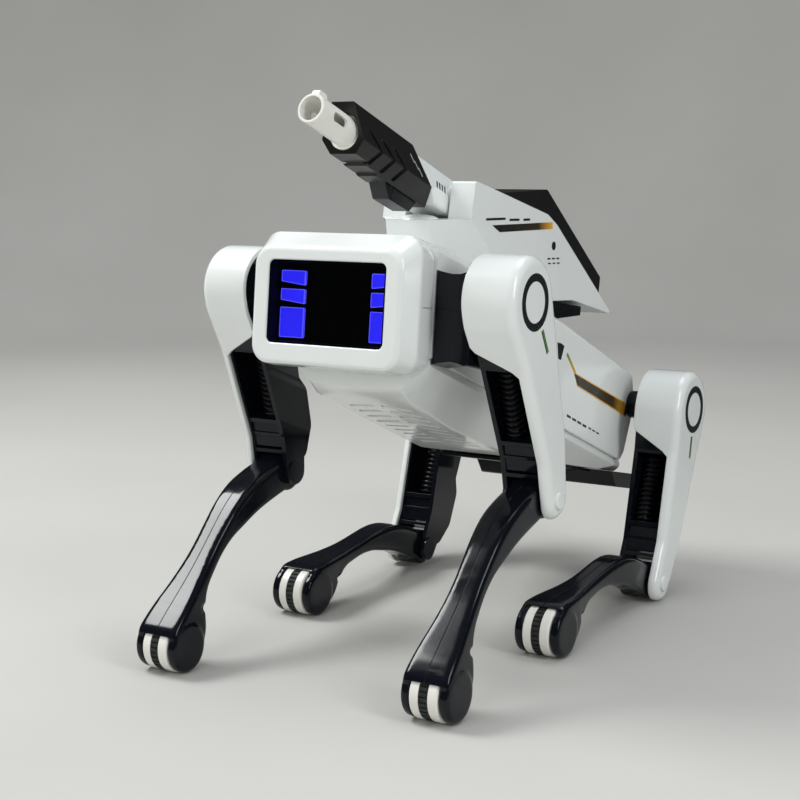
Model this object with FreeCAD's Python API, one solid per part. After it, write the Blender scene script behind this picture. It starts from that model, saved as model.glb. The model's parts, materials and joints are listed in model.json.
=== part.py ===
import FreeCAD, Part
import math
import os
from FreeCAD import Placement, Rotation, Vector

# A walking robot dog: a white body pitched nose-up on four two-joint legs
# that end in small wheels, with a ball launcher on its back.
# Millimetres. The dog looks along -Y, its left is +X, the floor is z = 0.
# Everything is drawn around the front hip axis and moved to mid-length last.

# body stance
BODY_PITCH = 13.0
FRONT_HIP_Z = 179.0
MID_LENGTH_Y = 73.78
REAR_HIP = (210.0, -30.9)

# legs
THIGH_LENGTH = 99.0
SHANK_LENGTH = 114.1
WHEEL_RADIUS = 12.4
WHEEL_HALF_WIDTH = 7.3
FOOT_HALF_WIDTH = 12.2
LEG_CENTRE_X = 72.8
HIP_RADIUS = 21.2
RIM_X = 60.8
OUTER_X = 87.5
PLATE_THICKNESS = 5.0
CHEEK_X = 61.6
KNEE_RADIUS = 9.5
HIP_SHAFT_RADIUS = 5.0
KNEE_PIN_RADIUS = 2.5
AXLE_RADIUS = 1.5
RUNNING_GAP = 0.05
FIXED_GAP = 0.02
WALL = 2.4
THIGH_ANGLES = {"fl": 14.9, "fr": 12.2, "rl": -24.2, "rr": -25.2}

# head
FACE_WIDTH = 81.0
FACE_HEIGHT = 58.0
FACE_CORNER = 9.0
FACE_TILT = 6.8
FACE_CENTRE = (-40.6, 178.1)
SCREEN_WIDTH = 64.6
SCREEN_HEIGHT = 38.8
SCREEN_CORNER = 3.0
BEZEL_DEPTH = 12.3
HEAD_DEPTH = 29.5
# how far the head's outline stands outside the nominal face, as (sides, top, bottom)
FACE_FRONT = (0.0, -3.6, 0.0)
FACE_RIDGE = (3.2, 4.0, 1.5)
HEAD_REAR = (0.4, 0.4, 0.4)

# trunk
TRUNK_FRONT_X = 41.5
TRUNK_REAR_X = 49.5
TRUNK_CORE_X = 36.0
HOUSING_INNER_X = 40.6
HOUSING_OUTER_X = 60.3

# launcher
BARREL_PITCH = 21.0
MUZZLE_CENTRE = (-51.0, 266.8)
BARREL_PIVOT_S = 128.0
MUZZLE_BORE = 5.7
MUZZLE_RADIUS = 7.0
LAUNCHER_HALF_WIDTH = 26.0
LID_HALF_WIDTH = 20.0

X_AXIS = Vector(1, 0, 0)
ORIGIN = Vector(0, 0, 0)


def cos_deg(a):
    return math.cos(math.radians(a))


def sin_deg(a):
    return math.sin(math.radians(a))


def corner_cut(before, at, after, radius):
    """Tangent points and middle of the arc that rounds one corner."""
    u = (before - at).normalize()
    v = (after - at).normalize()
    half = math.acos(max(-1.0, min(1.0, u.dot(v)))) / 2
    reach = radius / math.tan(half)
    centre = at + (u + v).normalize() * (radius / math.sin(half))
    middle = centre + (at - centre).normalize() * radius
    return at + u * reach, middle, at + v * reach


def rounded_face(points, radii):
    """A flat face round a polygon whose corners are rounded one by one."""
    n = len(points)
    cuts = []
    for i in range(n):
        if radii[i] > 0:
            cuts.append(corner_cut(points[i - 1], points[i], points[(i + 1) % n], radii[i]))
        else:
            cuts.append((points[i], None, points[i]))
    edges = []
    for i in range(n):
        start, middle, end = cuts[i]
        if middle is not None:
            edges.append(Part.Arc(start, middle, end).toShape())
        following = cuts[(i + 1) % n][0]
        if (following - end).Length > 1e-4:
            edges.append(Part.makeLine(end, following))
    return Part.Face(Part.Wire(edges))


def spread(radii, points):
    if isinstance(radii, (int, float)):
        return [radii] * len(points)
    return radii


def side_prism(points, x0, x1, radii=0):
    """Extrude a (y, z) outline across the dog."""
    flat = [Vector(x0, y, z) for y, z in points]
    return rounded_face(flat, spread(radii, points)).extrude(Vector(x1 - x0, 0, 0))


def front_prism(points, y0, y1, radii=0):
    """Extrude an (x, z) outline along the dog."""
    flat = [Vector(x, y0, z) for x, z in points]
    return rounded_face(flat, spread(radii, points)).extrude(Vector(0, y1 - y0, 0))


def plan_prism(points, z0, z1, radii=0):
    """Extrude an (x, y) outline upwards."""
    flat = [Vector(x, y, z0) for x, y in points]
    return rounded_face(flat, spread(radii, points)).extrude(Vector(0, 0, z1 - z0))


def box(x0, x1, y0, y1, z0, z1):
    return Part.makeBox(x1 - x0, y1 - y0, z1 - z0, Vector(x0, y0, z0))


def cross_bar(radius, x0, x1, y=0.0, z=0.0):
    """A round bar across the dog."""
    return Part.makeCylinder(radius, x1 - x0, Vector(x0, y, z), X_AXIS)


def rectangle(half_x, z0, z1):
    return [(-half_x, z0), (half_x, z0), (half_x, z1), (-half_x, z1)]


def turned(shape, angle, y=0.0, z=0.0):
    """Turn about an axis across the dog."""
    out = shape.copy()
    out.rotate(Vector(0, y, z), X_AXIS, angle)
    return out


def moved(shape, x=0.0, y=0.0, z=0.0):
    out = shape.copy()
    out.translate(Vector(x, y, z))
    return out


def mirrored(shape):
    return shape.mirror(ORIGIN, X_AXIS)


def round_edges(shape, radius, wanted):
    """Fillet the edges for which wanted(edge) is true."""
    return shape.makeFillet(radius, [e for e in shape.Edges if wanted(e)])


def edges_at(axis, value):
    """Pick edges lying in one plane across an axis."""
    def wanted(edge):
        box_of = edge.BoundBox
        low = getattr(box_of, axis + "Min")
        high = getattr(box_of, axis + "Max")
        return abs(low - value) < 1e-3 and abs(high - value) < 1e-3
    return wanted


def joined(shapes):
    out = shapes[0].multiFuse(shapes[1:]) if len(shapes) > 1 else shapes[0]
    return out.removeSplitter()


def ring_of(count):
    return [360.0 * i / count for i in range(count)]


# ---------------------------------------------------------------- stations

def trunk_point(y, z):
    """A point of the pitched trunk, as level (y, z)."""
    level_y = y * cos_deg(BODY_PITCH) + z * sin_deg(BODY_PITCH)
    level_z = FRONT_HIP_Z - y * sin_deg(BODY_PITCH) + z * cos_deg(BODY_PITCH)
    return level_y, level_z


def pitched(shape):
    """Bring a shape drawn in the trunk's own frame to its stance."""
    return moved(turned(shape, -BODY_PITCH), z=FRONT_HIP_Z)


def hip_of(leg):
    return (0.0, FRONT_HIP_Z) if leg[0] == "f" else trunk_point(*REAR_HIP)


def knee_of(leg):
    y, z = hip_of(leg)
    angle = THIGH_ANGLES[leg]
    return y + THIGH_LENGTH * sin_deg(angle), z - THIGH_LENGTH * cos_deg(angle)


def shank_angle(leg):
    """The shank leans forward until its wheel stands on the floor."""
    drop = knee_of(leg)[1] - WHEEL_RADIUS
    return math.degrees(math.acos(drop / SHANK_LENGTH))


def on_side(leg, shape):
    return shape if leg[1] == "l" else mirrored(shape)


def place_thigh(leg, shape):
    y, z = hip_of(leg)
    return on_side(leg, moved(turned(shape, THIGH_ANGLES[leg]), y=y, z=z))


def place_shank(leg, shape):
    y, z = knee_of(leg)
    return on_side(leg, moved(turned(shape, -shank_angle(leg)), x=LEG_CENTRE_X, y=y, z=z))


# ------------------------------------------------------------------- thigh
# drawn hanging straight down from the hip, for the left side

def thigh_outline(inset):
    """Side outline of the thigh, drawn in by an inset."""
    r = HIP_RADIUS - inset
    foot = THIGH_LENGTH + KNEE_RADIUS - inset
    end = KNEE_RADIUS - inset
    points = [
        (-r, r), (r, r), (16.6 - inset, -75.0), (end, -foot),
        (-end, -foot), (-7.5 + inset, -78.7), (-15.0 + inset, -28.6), (-r, -6.0),
    ]
    radii = [r - 0.1, r * 0.95, 25.0, end - 0.3, end - 0.3, 12.0, 8.0, 15.0]
    return points, radii


def thigh_slab(x0, x1, inset):
    points, radii = thigh_outline(inset)
    return side_prism(points, x0, x1, radii)


def thigh_shell():
    plate_x = OUTER_X - PLATE_THICKNESS
    plate = round_edges(thigh_slab(plate_x, OUTER_X, 0.0), 3.0, edges_at("X", OUTER_X))
    hood = thigh_slab(RIM_X, plate_x, 0.0)
    hood = hood.cut(thigh_slab(RIM_X - 1, plate_x + 1, WALL))
    below = [(RIM_X - 1, -18.4), (plate_x, -31.0), (plate_x, -130.0), (RIM_X - 1, -130.0)]
    hood = hood.cut(front_prism(below, -40, 40))
    cap = cross_bar(4.2, OUTER_X - 1, OUTER_X + 1.5, 0, -THIGH_LENGTH)
    cap = round_edges(cap, 1.0, edges_at("X", OUTER_X + 1.5))
    shell = joined([plate, hood, cap])
    pin_seat = cross_bar(KNEE_PIN_RADIUS + RUNNING_GAP, plate_x - 1, plate_x + 2.2, 0, -THIGH_LENGTH)
    return shell.cut(pin_seat)


FRAME_INSET = WALL + 0.3
FRAME_OUTER_X = OUTER_X - PLATE_THICKNESS - 0.1
CHEEK_THICKNESS = 2.4
KNEE_PIN_START = CHEEK_X + 0.4
SPRING_X = 69.4
SPRING_TOP = -30.0
SPRING_FOOT = -67.0


def thigh_frame():
    inner_x = CHEEK_X + CHEEK_THICKNESS
    outer_x = FRAME_OUTER_X - 1.2
    solid = thigh_slab(CHEEK_X, FRAME_OUTER_X, FRAME_INSET)
    bay = box(inner_x, outer_x, -40, 40, -68.0, SPRING_TOP)
    window_top = box(inner_x, outer_x, -40, 40, -76.0, -70.4)
    window_low = box(inner_x, outer_x, -40, 40, -85.0, -77.6)
    knee_bay = box(inner_x, outer_x, -40, 40, -120.0, -87.0)
    swing = cross_bar(13.0, inner_x, outer_x, 0, -THIGH_LENGTH)
    frame = solid.cut(joined([bay, window_top, window_low, knee_bay]))
    frame = frame.cut(swing)
    boss = cross_bar(6.2, CHEEK_X - 1.0, CHEEK_X + 0.5, 0, -THIGH_LENGTH)
    lobe = side_prism([(10.0, -44.0), (20.0, -60.0), (19.6, -80.0), (12.0, -93.0), (4.0, -97.0)],
                      CHEEK_X, inner_x, [0, 8.0, 8.0, 6.0, 0])
    spring_seat = Part.makeCylinder(3.3, 1.1, Vector(SPRING_X, 0, -68.1))
    frame = joined([frame, boss, lobe, spring_seat])
    shaft_bore = cross_bar(HIP_SHAFT_RADIUS + FIXED_GAP, CHEEK_X - 2, 80.2)
    pin_bore = cross_bar(KNEE_PIN_RADIUS + RUNNING_GAP, KNEE_PIN_START, OUTER_X, 0, -THIGH_LENGTH)
    return frame.cut(joined([shaft_bore, pin_bore]))


def thigh_spring():
    """A ribbed spring sleeve standing in the bay of the thigh frame."""
    height = SPRING_TOP - SPRING_FOOT - 2 * FIXED_GAP
    ribs = 9
    pitch = height / ribs
    core = 3.6
    crest = 4.9
    outline = [Vector(0, 0, 0), Vector(core, 0, 0)]
    for i in range(ribs):
        outline.append(Vector(crest, 0, (i + 0.3) * pitch))
        outline.append(Vector(crest, 0, (i + 0.62) * pitch))
        outline.append(Vector(core, 0, (i + 1.0) * pitch))
    outline.append(Vector(0, 0, height))
    outline.append(outline[0])
    sleeve = Part.Face(Part.makePolygon(outline)).revolve(ORIGIN, Vector(0, 0, 1), 360)
    return moved(Part.Solid(sleeve), x=SPRING_X, z=SPRING_FOOT + FIXED_GAP)


def hip_shaft():
    shaft = cross_bar(HIP_SHAFT_RADIUS, 28.0, 80.0)
    flat = box(27.0, 34.0, -8, 8, 3.6, 8)
    return shaft.cut(flat)


# ------------------------------------------------------------------- shank
# drawn hanging straight down from the knee, x measured from its middle

def shank_profile():
    foot = -SHANK_LENGTH
    points = [
        (-10.0, 10.0), (10.0, 10.0), (6.2, -5.8), (-1.0, -22.7), (-6.2, -39.9),
        (-10.2, -58.0), (-6.4, -88.0), (6.6, -98.6), (10.6, foot + 4.0), (-9.0, foot - 5.0),
        (-13.0, foot - 5.0), (-14.4, foot + 4.0), (-14.8, -96.0), (-16.2, -74.0),
        (-20.4, -42.0), (-19.2, -25.0), (-10.4, -5.0),
    ]
    radii = [9.8, 7.8, 8.0, 30.0, 30.0, 22.0, 8.0, 7.0, 0, 0.6,
             0.8, 6.0, 20.0, 40.0, 22.0, 14.0, 10.0]
    return side_prism(points, -FOOT_HALF_WIDTH, FOOT_HALF_WIDTH, radii)


def shank_front():
    knee, waist, foot = 8.2, 7.5, FOOT_HALF_WIDTH
    half = [(knee, 12.0), (knee, -14.0), (9.0, -30.0), (waist, -62.0), (waist, -84.0),
            (foot - 0.4, -103.0), (foot - 0.4, -130.0)]
    points = half + [(-x, z) for x, z in reversed(half)]
    radii = [0, 12.0, 20.0, 40.0, 14.0, 10.0, 0]
    return front_prism(points, -30, 30, radii + radii[::-1])


def shank_whole():
    body = shank_profile().common(shank_front())
    knee_end = cross_bar(10.2, -8.2, 8.2)
    disc_in = WHEEL_HALF_WIDTH + 0.3
    discs = []
    for side in (-1, 1):
        disc = cross_bar(12.1, disc_in, FOOT_HALF_WIDTH, 0, -SHANK_LENGTH)
        disc = round_edges(disc, 1.6, edges_at("X", FOOT_HALF_WIDTH))
        discs.append(disc if side > 0 else mirrored(disc))
    body = joined([body, knee_end] + discs)
    bay = cross_bar(WHEEL_RADIUS + 0.6, -disc_in, disc_in, 0, -SHANK_LENGTH)
    pin = cross_bar(KNEE_PIN_RADIUS + FIXED_GAP, -20, 20)
    axle = cross_bar(AXLE_RADIUS + FIXED_GAP, -11.5, 11.5, 0, -SHANK_LENGTH)
    dimple = cross_bar(2.0, FOOT_HALF_WIDTH - 4.6, FOOT_HALF_WIDTH, -3.6, -93.0)
    return body.cut(joined([bay, pin, axle])).cut(joined([dimple, mirrored(dimple)]))


def shank_half(outer):
    """The shank is two mouldings that meet on its middle plane."""
    seam = 0.05
    if outer:
        return shank_whole().common(box(seam, 30, -60, 60, -150, 50))
    return shank_whole().common(box(-30, -seam, -60, 60, -150, 50))


def shank_pins():
    pin = cross_bar(KNEE_PIN_RADIUS, KNEE_PIN_START - LEG_CENTRE_X + 0.1, 11.8)
    axle = cross_bar(AXLE_RADIUS, -11.3, 11.3, 0, -SHANK_LENGTH)
    return Part.makeCompound([pin, axle])


def foot_wheel():
    wheel = cross_bar(WHEEL_RADIUS, -WHEEL_HALF_WIDTH, WHEEL_HALF_WIDTH, 0, -SHANK_LENGTH)
    wheel = round_edges(wheel, 1.2, lambda e: e.Length > 60 and abs(e.BoundBox.XLength) < 1e-3)
    groove = cross_bar(20, -2.4, 2.4, 0, -SHANK_LENGTH).cut(
        cross_bar(10.6, -2.5, 2.5, 0, -SHANK_LENGTH))
    bore = cross_bar(AXLE_RADIUS + RUNNING_GAP, -20, 20, 0, -SHANK_LENGTH)
    return wheel.cut(groove).cut(bore)


def foot_tread():
    """A ribbed black band pressed in the groove of the wheel."""
    band = cross_bar(WHEEL_RADIUS - 0.1, -2.36, 2.36, 0, -SHANK_LENGTH)
    band = band.cut(cross_bar(10.6 + FIXED_GAP, -3, 3, 0, -SHANK_LENGTH))
    slot = box(-2.0, 2.0, -0.45, 0.45, 11.6, 13.0)
    slots = [moved(turned(slot, a), z=-SHANK_LENGTH) for a in ring_of(32)]
    return band.cut(Part.makeCompound(slots))


# -------------------------------------------------------------------- head
# drawn upright round the middle of the face, y going back into the head

def place_face(shape):
    return moved(turned(shape, -FACE_TILT), y=FACE_CENTRE[0], z=FACE_CENTRE[1])


def face_wire(y, reach, corner):
    sides, top, bottom = reach
    corners = rectangle(FACE_WIDTH / 2 + sides, -FACE_HEIGHT / 2 - bottom, FACE_HEIGHT / 2 + top)
    flat = [Vector(x, y, z) for x, z in corners]
    return rounded_face(flat, [corner] * 4).OuterWire


def face_loft(y0, y1, reach0, reach1, corner):
    wires = [face_wire(y0, reach0, corner), face_wire(y1, reach1, corner)]
    return Part.makeLoft(wires, True, True)


def drawn_in(reach, inset):
    return tuple(value - inset for value in reach)


def screen_prism(y0, y1, grow):
    points = rectangle(SCREEN_WIDTH / 2 + grow, -SCREEN_HEIGHT / 2 - grow, SCREEN_HEIGHT / 2 + grow)
    return front_prism(points, y0, y1, SCREEN_CORNER)


def face_bezel():
    """The face frame: a flat front whose sides and top flare back to a ridge."""
    outer = face_loft(0, BEZEL_DEPTH, FACE_FRONT, FACE_RIDGE, FACE_CORNER)
    outer = round_edges(outer, 1.8, edges_at("Y", 0.0))
    hollow = face_loft(3.2, BEZEL_DEPTH + 0.1, drawn_in(FACE_FRONT, 1.4), drawn_in(FACE_RIDGE, WALL),
                       FACE_CORNER - WALL)
    return outer.cut(hollow).cut(screen_prism(-1, 5, 0))


def display_window():
    return screen_prism(0.8, 3.0, -FIXED_GAP).fuse(screen_prism(3.22, 5.2, 3.0)).fuse(
        screen_prism(2.9, 3.3, -FIXED_GAP)).removeSplitter()


EYE_X = (18.5, 32.0)
EYE_TOP = SCREEN_HEIGHT / 2 - 4.6
EYE_HEIGHTS = (6.9, 6.9, 14.2)
EYE_GAP = 1.8
EYE_DEPTH = 10.5


def eye_lights():
    """Two columns of three light blocks behind the window."""
    blocks = []
    top = EYE_TOP
    for height, slant in zip(EYE_HEIGHTS, (1.6, 1.6, 0.0)):
        left, right = EYE_X
        points = [(left, top), (right, top), (right, top - height + slant), (left, top - height)]
        block = front_prism(points, EYE_DEPTH, EYE_DEPTH + 1.4, 0.5)
        blocks.append(block)
        blocks.append(mirrored(block))
        top -= height + EYE_GAP
    return Part.makeCompound(blocks)


def display_board():
    board = front_prism(rectangle(36.0, -22.0, 22.0), EYE_DEPTH + 1.5, EYE_DEPTH + 3.1, 2.0)
    chips = [box(-9, 9, EYE_DEPTH + 3.1, EYE_DEPTH + 5.3, -7, 5),
             box(-26, -18, EYE_DEPTH + 3.1, EYE_DEPTH + 4.7, 4, 11)]
    return joined([board] + chips)


def head_shell():
    start = BEZEL_DEPTH + 0.25
    outer = face_loft(start, HEAD_DEPTH, FACE_RIDGE, HEAD_REAR, FACE_CORNER)
    hollow = face_loft(start - 0.1, HEAD_DEPTH - WALL, drawn_in(FACE_RIDGE, WALL), drawn_in(HEAD_REAR, WALL),
                       FACE_CORNER - WALL)
    return outer.cut(hollow)


def head_envelope():
    """The room the head takes up, with a parting gap all round."""
    ridge, rear = drawn_in(FACE_RIDGE, -0.3), drawn_in(HEAD_REAR, -0.3)
    front = face_loft(0, BEZEL_DEPTH + 0.25, ridge, ridge, FACE_CORNER)
    back = face_loft(BEZEL_DEPTH + 0.25, HEAD_DEPTH + 0.15, ridge, rear, FACE_CORNER)
    return place_face(joined([front, back]))


# ------------------------------------------------------------------- trunk
# drawn level, front hip axis at the origin

# each station: y, half-width and height of the top, the ridge and the sill
BACK_STATIONS = (
    (-20.0, 29.0, 26.0, TRUNK_FRONT_X, 21.8, -27.0),
    (34.0, 29.0, 25.5, TRUNK_FRONT_X + 1.0, 15.2, -36.0),
    (118.0, 26.0, 15.0, 46.0, 3.4, -49.0),
    (205.0, 25.0, -0.5, TRUNK_REAR_X, -14.0, -64.0),
    (218.0, 24.0, -3.0, TRUNK_REAR_X - 0.6, -17.0, -61.0),
    (239.0, 20.0, -16.0, 35.0, -23.0, -52.0),
)
# the rear edge of the side panels, a blunt arrow that points backwards
PANEL_END = ((205.0, 10.0), (206.5, -14.2), (214.4, -31.2), (205.8, -58.4), (200.6, -64.3), (198.0, -80.0))
# each station: y, half-width and height of the sill, half-width and height of the bottom
BELLY_STATIONS = (
    (-14.0, 40.0, -28.4, 24.0, -40.0),
    (2.0, 40.6, -31.6, 26.0, -49.5),
    (50.0, 42.0, -39.6, 24.0, -59.6),
    (112.0, 44.6, -49.4, 30.0, -69.0),
    (199.0, 47.6, -64.4, 38.0, -70.0),
    (203.0, TRUNK_CORE_X, -64.4, 35.0, -70.0),
    (233.0, TRUNK_CORE_X, -64.4, 33.0, -70.0),
)


def trunk_loft(stations, outline, inset):
    wires = []
    for station in stations:
        points = [Vector(x, station[0], z) for x, z in outline(station, inset)]
        wires.append(Part.makePolygon(points + points[:1]))
    return Part.makeLoft(wires, True, True)


def back_outline(station, inset):
    top_x, top_z, ridge_x, ridge_z, sill_z = station[1:]
    open_depth = 20.0 if inset else 0.0
    half = [(top_x - inset * 0.4, top_z - inset), (ridge_x - inset, ridge_z - inset * 0.4),
            (ridge_x - inset, sill_z - open_depth)]
    return half + [(-x, z) for x, z in reversed(half)]


def belly_outline(station, inset):
    sill_x, sill_z, low_x, low_z = station[1:]
    open_height = 20.0 if inset else 0.0
    half = [(sill_x - inset, sill_z + open_height), (sill_x - inset, sill_z - 2.0),
            (low_x - inset * 0.5, low_z + inset)]
    return half + [(-x, z) for x, z in reversed(half)]


def shift_ends(stations, by):
    first = (stations[0][0] + by,) + stations[0][1:]
    last = (stations[-1][0] - by,) + stations[-1][1:]
    return (first,) + tuple(stations[1:-1]) + (last,)


def hip_stations():
    return ((0.0, 0.0), REAR_HIP)


def hip_holes(radius):
    return [cross_bar(radius, -90, 90, y, z) for y, z in hip_stations()]


def panel_cutter(start_x):
    """Takes away what stands outside the trunk's core behind the side panels."""
    beyond = list(PANEL_END) + [(260.0, -80.0), (260.0, 10.0)]
    cutter = side_prism(beyond, start_x, 90.0)
    return joined([cutter, mirrored(cutter)])


def back_body():
    return trunk_loft(BACK_STATIONS, back_outline, 0).cut(panel_cutter(TRUNK_CORE_X))


def side_envelope():
    """The trunk's flanks down past the sill, with a parting gap."""
    return trunk_loft(BACK_STATIONS, back_outline, -0.1).cut(panel_cutter(TRUNK_CORE_X + 0.1))


def back_shell():
    hollow = trunk_loft(shift_ends(BACK_STATIONS, WALL), back_outline, WALL)
    rear_wall = box(TRUNK_CORE_X - WALL, 90.0, 196.0, 260.0, -100.0, 60.0)
    hollow = hollow.cut(rear_wall).cut(mirrored(rear_wall))
    mouth = trunk_loft(BACK_STATIONS[:2], back_outline, WALL)
    shell = back_body().cut(hollow).cut(mouth)
    return shell.cut(joined(hip_holes(HIP_SHAFT_RADIUS + 1.0)))


def back_envelope():
    """The full body of the back, lifted by a parting gap."""
    return moved(pitched(back_body()), z=0.1)


VENT_COUNT = 9
VENT_PITCH = 9.0


def belly_shell():
    outer = trunk_loft(BELLY_STATIONS, belly_outline, 0)
    hollow = trunk_loft(shift_ends(BELLY_STATIONS, WALL), belly_outline, WALL)
    shell = outer.cut(hollow)
    slots = []
    for i in range(VENT_COUNT):
        y = 14.0 + i * VENT_PITCH
        for side in (-1, 1):
            slot = box(3.0, 19.0, y, y + 3.0, -80.0, -45.0)
            slot.rotate(Vector(0, y, 0), Vector(0, 0, 1), 14.0)
            slots.append(slot if side > 0 else mirrored(slot))
    tray_seat = box(-26.0, 26.0, 126.0, 222.0, -75.0, -60.0)
    return shell.cut(Part.makeCompound(slots)).cut(tray_seat)


PLATE_TOP = -70.3
PLATE_BOTTOM = -71.8
PLATE_Y = (119.0, 236.0)
HEEL_BOTTOM = -79.0
HEEL_Y = (213.0, 240.0)
HEEL_HALF_WIDTH = 44.0
DOOR_Y = (138.0, 206.0)
DOOR_HALF_WIDTH = 21.0
SWITCH_Y = 226.0
SCREWS = ((24.0, 126.0, PLATE_BOTTOM), (37.0, 226.5, HEEL_BOTTOM))


def chassis_tray():
    """A thin plate with the battery well, and the deep heel between the rear hips."""
    plate = plan_prism([(-30.0, PLATE_Y[0]), (30.0, PLATE_Y[0]), (30.0, PLATE_Y[1]), (-30.0, PLATE_Y[1])],
                       PLATE_BOTTOM, PLATE_TOP, 4.0)
    heel = side_prism([(HEEL_Y[0] - 9.0, PLATE_TOP), (HEEL_Y[0], HEEL_BOTTOM), (HEEL_Y[1], HEEL_BOTTOM),
                       (HEEL_Y[1], PLATE_TOP)], -HEEL_HALF_WIDTH, HEEL_HALF_WIDTH, [0, 4.0, 2.0, 0])
    pocket = box(-28.0, 28.0, HEEL_Y[0] + WALL, HEEL_Y[1] - WALL, HEEL_BOTTOM + WALL, PLATE_TOP + 1.0)
    well = box(-25.0, 25.0, 129.0, 209.0, PLATE_BOTTOM, -62.0)
    room = box(-23.0, 23.0, 131.0, 207.0, PLATE_BOTTOM + 2.2, -61.0)
    tray = joined([plate, heel, well]).cut(joined([pocket, room]))
    door = box(-DOOR_HALF_WIDTH - 0.2, DOOR_HALF_WIDTH + 0.2, DOOR_Y[0] - 0.2, DOOR_Y[1] + 0.2, -85, -66)
    slot = box(-3.2, 3.2, SWITCH_Y - 5.0, SWITCH_Y + 5.0, -85.0, HEEL_BOTTOM + WALL + 0.5)
    return tray.cut(door).cut(slot)


def battery_door():
    door = box(-DOOR_HALF_WIDTH, DOOR_HALF_WIDTH, DOOR_Y[0], DOOR_Y[1], PLATE_BOTTOM, PLATE_BOTTOM + 2.2)
    grip = [box(-8, 8, 142.0 + 3 * i, 143.4 + 3 * i, PLATE_BOTTOM - 1, PLATE_BOTTOM + 0.6) for i in range(4)]
    return door.cut(Part.makeCompound(grip))


def power_switch():
    floor = HEEL_BOTTOM + WALL
    plate = box(-6.0, 6.0, SWITCH_Y - 7.4, SWITCH_Y + 7.4, floor + 0.2, floor + 1.4)
    knob = box(-3.0, 3.0, SWITCH_Y - 2.5, SWITCH_Y + 2.5, HEEL_BOTTOM + 0.2, floor + 0.6)
    return joined([plate, knob])


def battery_pack():
    cells = []
    for row in range(2):
        for side in (-1, 1):
            cells.append(Part.makeCylinder(8.8, 62.0, Vector(side * 9.2, 134.0, -60.2 + 18.0 * row),
                                           Vector(0, 1, 0)))
    return Part.makeCompound(cells)


def main_board():
    board = box(-26.0, 26.0, 40.0, 120.0, -20.0, -18.4)
    parts = [box(-12, 8, 70, 88, -18.4, -16.0), box(14, 22, 50, 64, -18.4, -12.4),
             box(-24, -16, 98, 112, -18.4, -10.4)]
    return joined([board] + parts)


def hip_housing(front):
    """The black gearbox cover between the trunk and a hip."""
    if front:
        points = [(-13.0, 11.5), (20.0, 11.5), (25.0, -8.0), (17.0, -32.0), (-9.0, -32.0), (-15.0, -12.0)]
        cover = side_prism(points, HOUSING_INNER_X, HOUSING_OUTER_X, [6.0, 6.0, 9.0, 9.0, 9.0, 9.0])
        cover = round_edges(cover, 1.5, edges_at("X", HOUSING_OUTER_X))
    else:
        depth = HOUSING_OUTER_X - TRUNK_CORE_X - 0.1
        cover = Part.makeCone(8.0, 15.0, depth, Vector(TRUNK_CORE_X + 0.1, 0, 0), X_AXIS)
    cavity = cross_bar(7.0, HOUSING_INNER_X - 5, HOUSING_OUTER_X - 4.0)
    bore = cross_bar(HIP_SHAFT_RADIUS + RUNNING_GAP, HOUSING_INNER_X - 5, HOUSING_OUTER_X + 1)
    return cover.cut(cavity).cut(bore)


def hip_motor():
    """A gear motor inside the trunk that drives one hip shaft."""
    gearbox = side_prism([(-7.0, 9.0), (15.0, 9.0), (15.0, -15.0), (-7.0, -15.0)], 17.0, 33.4, 3.0)
    motor = cross_bar(7.0, 3.0, 17.5, 0, -6.0)
    body = joined([gearbox, motor])
    return body.cut(cross_bar(HIP_SHAFT_RADIUS + RUNNING_GAP, 27.0, 40.0))


def at_hips(make):
    """Stand a left-hand part at each of the four hips, in the trunk's frame."""
    out = []
    for y, z in hip_stations():
        part = moved(make(y < 1), y=y, z=z)
        out.append(part)
        out.append(mirrored(part))
    return Part.makeCompound(out)


def screw_places():
    return [(side * x, y, z) for x, y, z in SCREWS for side in (-1, 1)]


def body_screws():
    """Recessed cross-head screws that hold the tray and the belly."""
    screws = []
    for x, y, z in screw_places():
        head = Part.makeCylinder(2.65, 1.2, Vector(x, y, z + 0.1))
        cross = joined([box(x - 1.6, x + 1.6, y - 0.3, y + 0.3, z, z + 0.8),
                        box(x - 0.3, x + 0.3, y - 1.6, y + 1.6, z, z + 0.8)])
        screws.append(head.cut(cross))
    return Part.makeCompound(screws)


def screw_recesses():
    return Part.makeCompound([Part.makeCylinder(2.7, 1.35, Vector(x, y, z)) for x, y, z in screw_places()])


# ---------------------------------------------------------------- launcher
# the block is drawn in place; the barrel is drawn along its own axis

def on_barrel(shape):
    """Bring a part drawn with y along the barrel, muzzle at 0, to its stance."""
    return moved(turned(shape, -BARREL_PITCH), y=MUZZLE_CENTRE[0], z=MUZZLE_CENTRE[1])


def barrel_point(s, h):
    y = MUZZLE_CENTRE[0] + s * cos_deg(BARREL_PITCH) + h * sin_deg(BARREL_PITCH)
    z = MUZZLE_CENTRE[1] - s * sin_deg(BARREL_PITCH) + h * cos_deg(BARREL_PITCH)
    return y, z


def hexagon(top_x, top_z, mid_x, mid_z, low_x, low_z):
    half = [(top_x, top_z), (mid_x, mid_z), (low_x, low_z)]
    return half + [(-x, z) for x, z in reversed(half)]


def shroud_outline(grow=0.0):
    return hexagon(6.0 + grow, 12.4 + grow, 11.6 + grow, -3.8, 5.2 + grow, -12.6 - grow)


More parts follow.
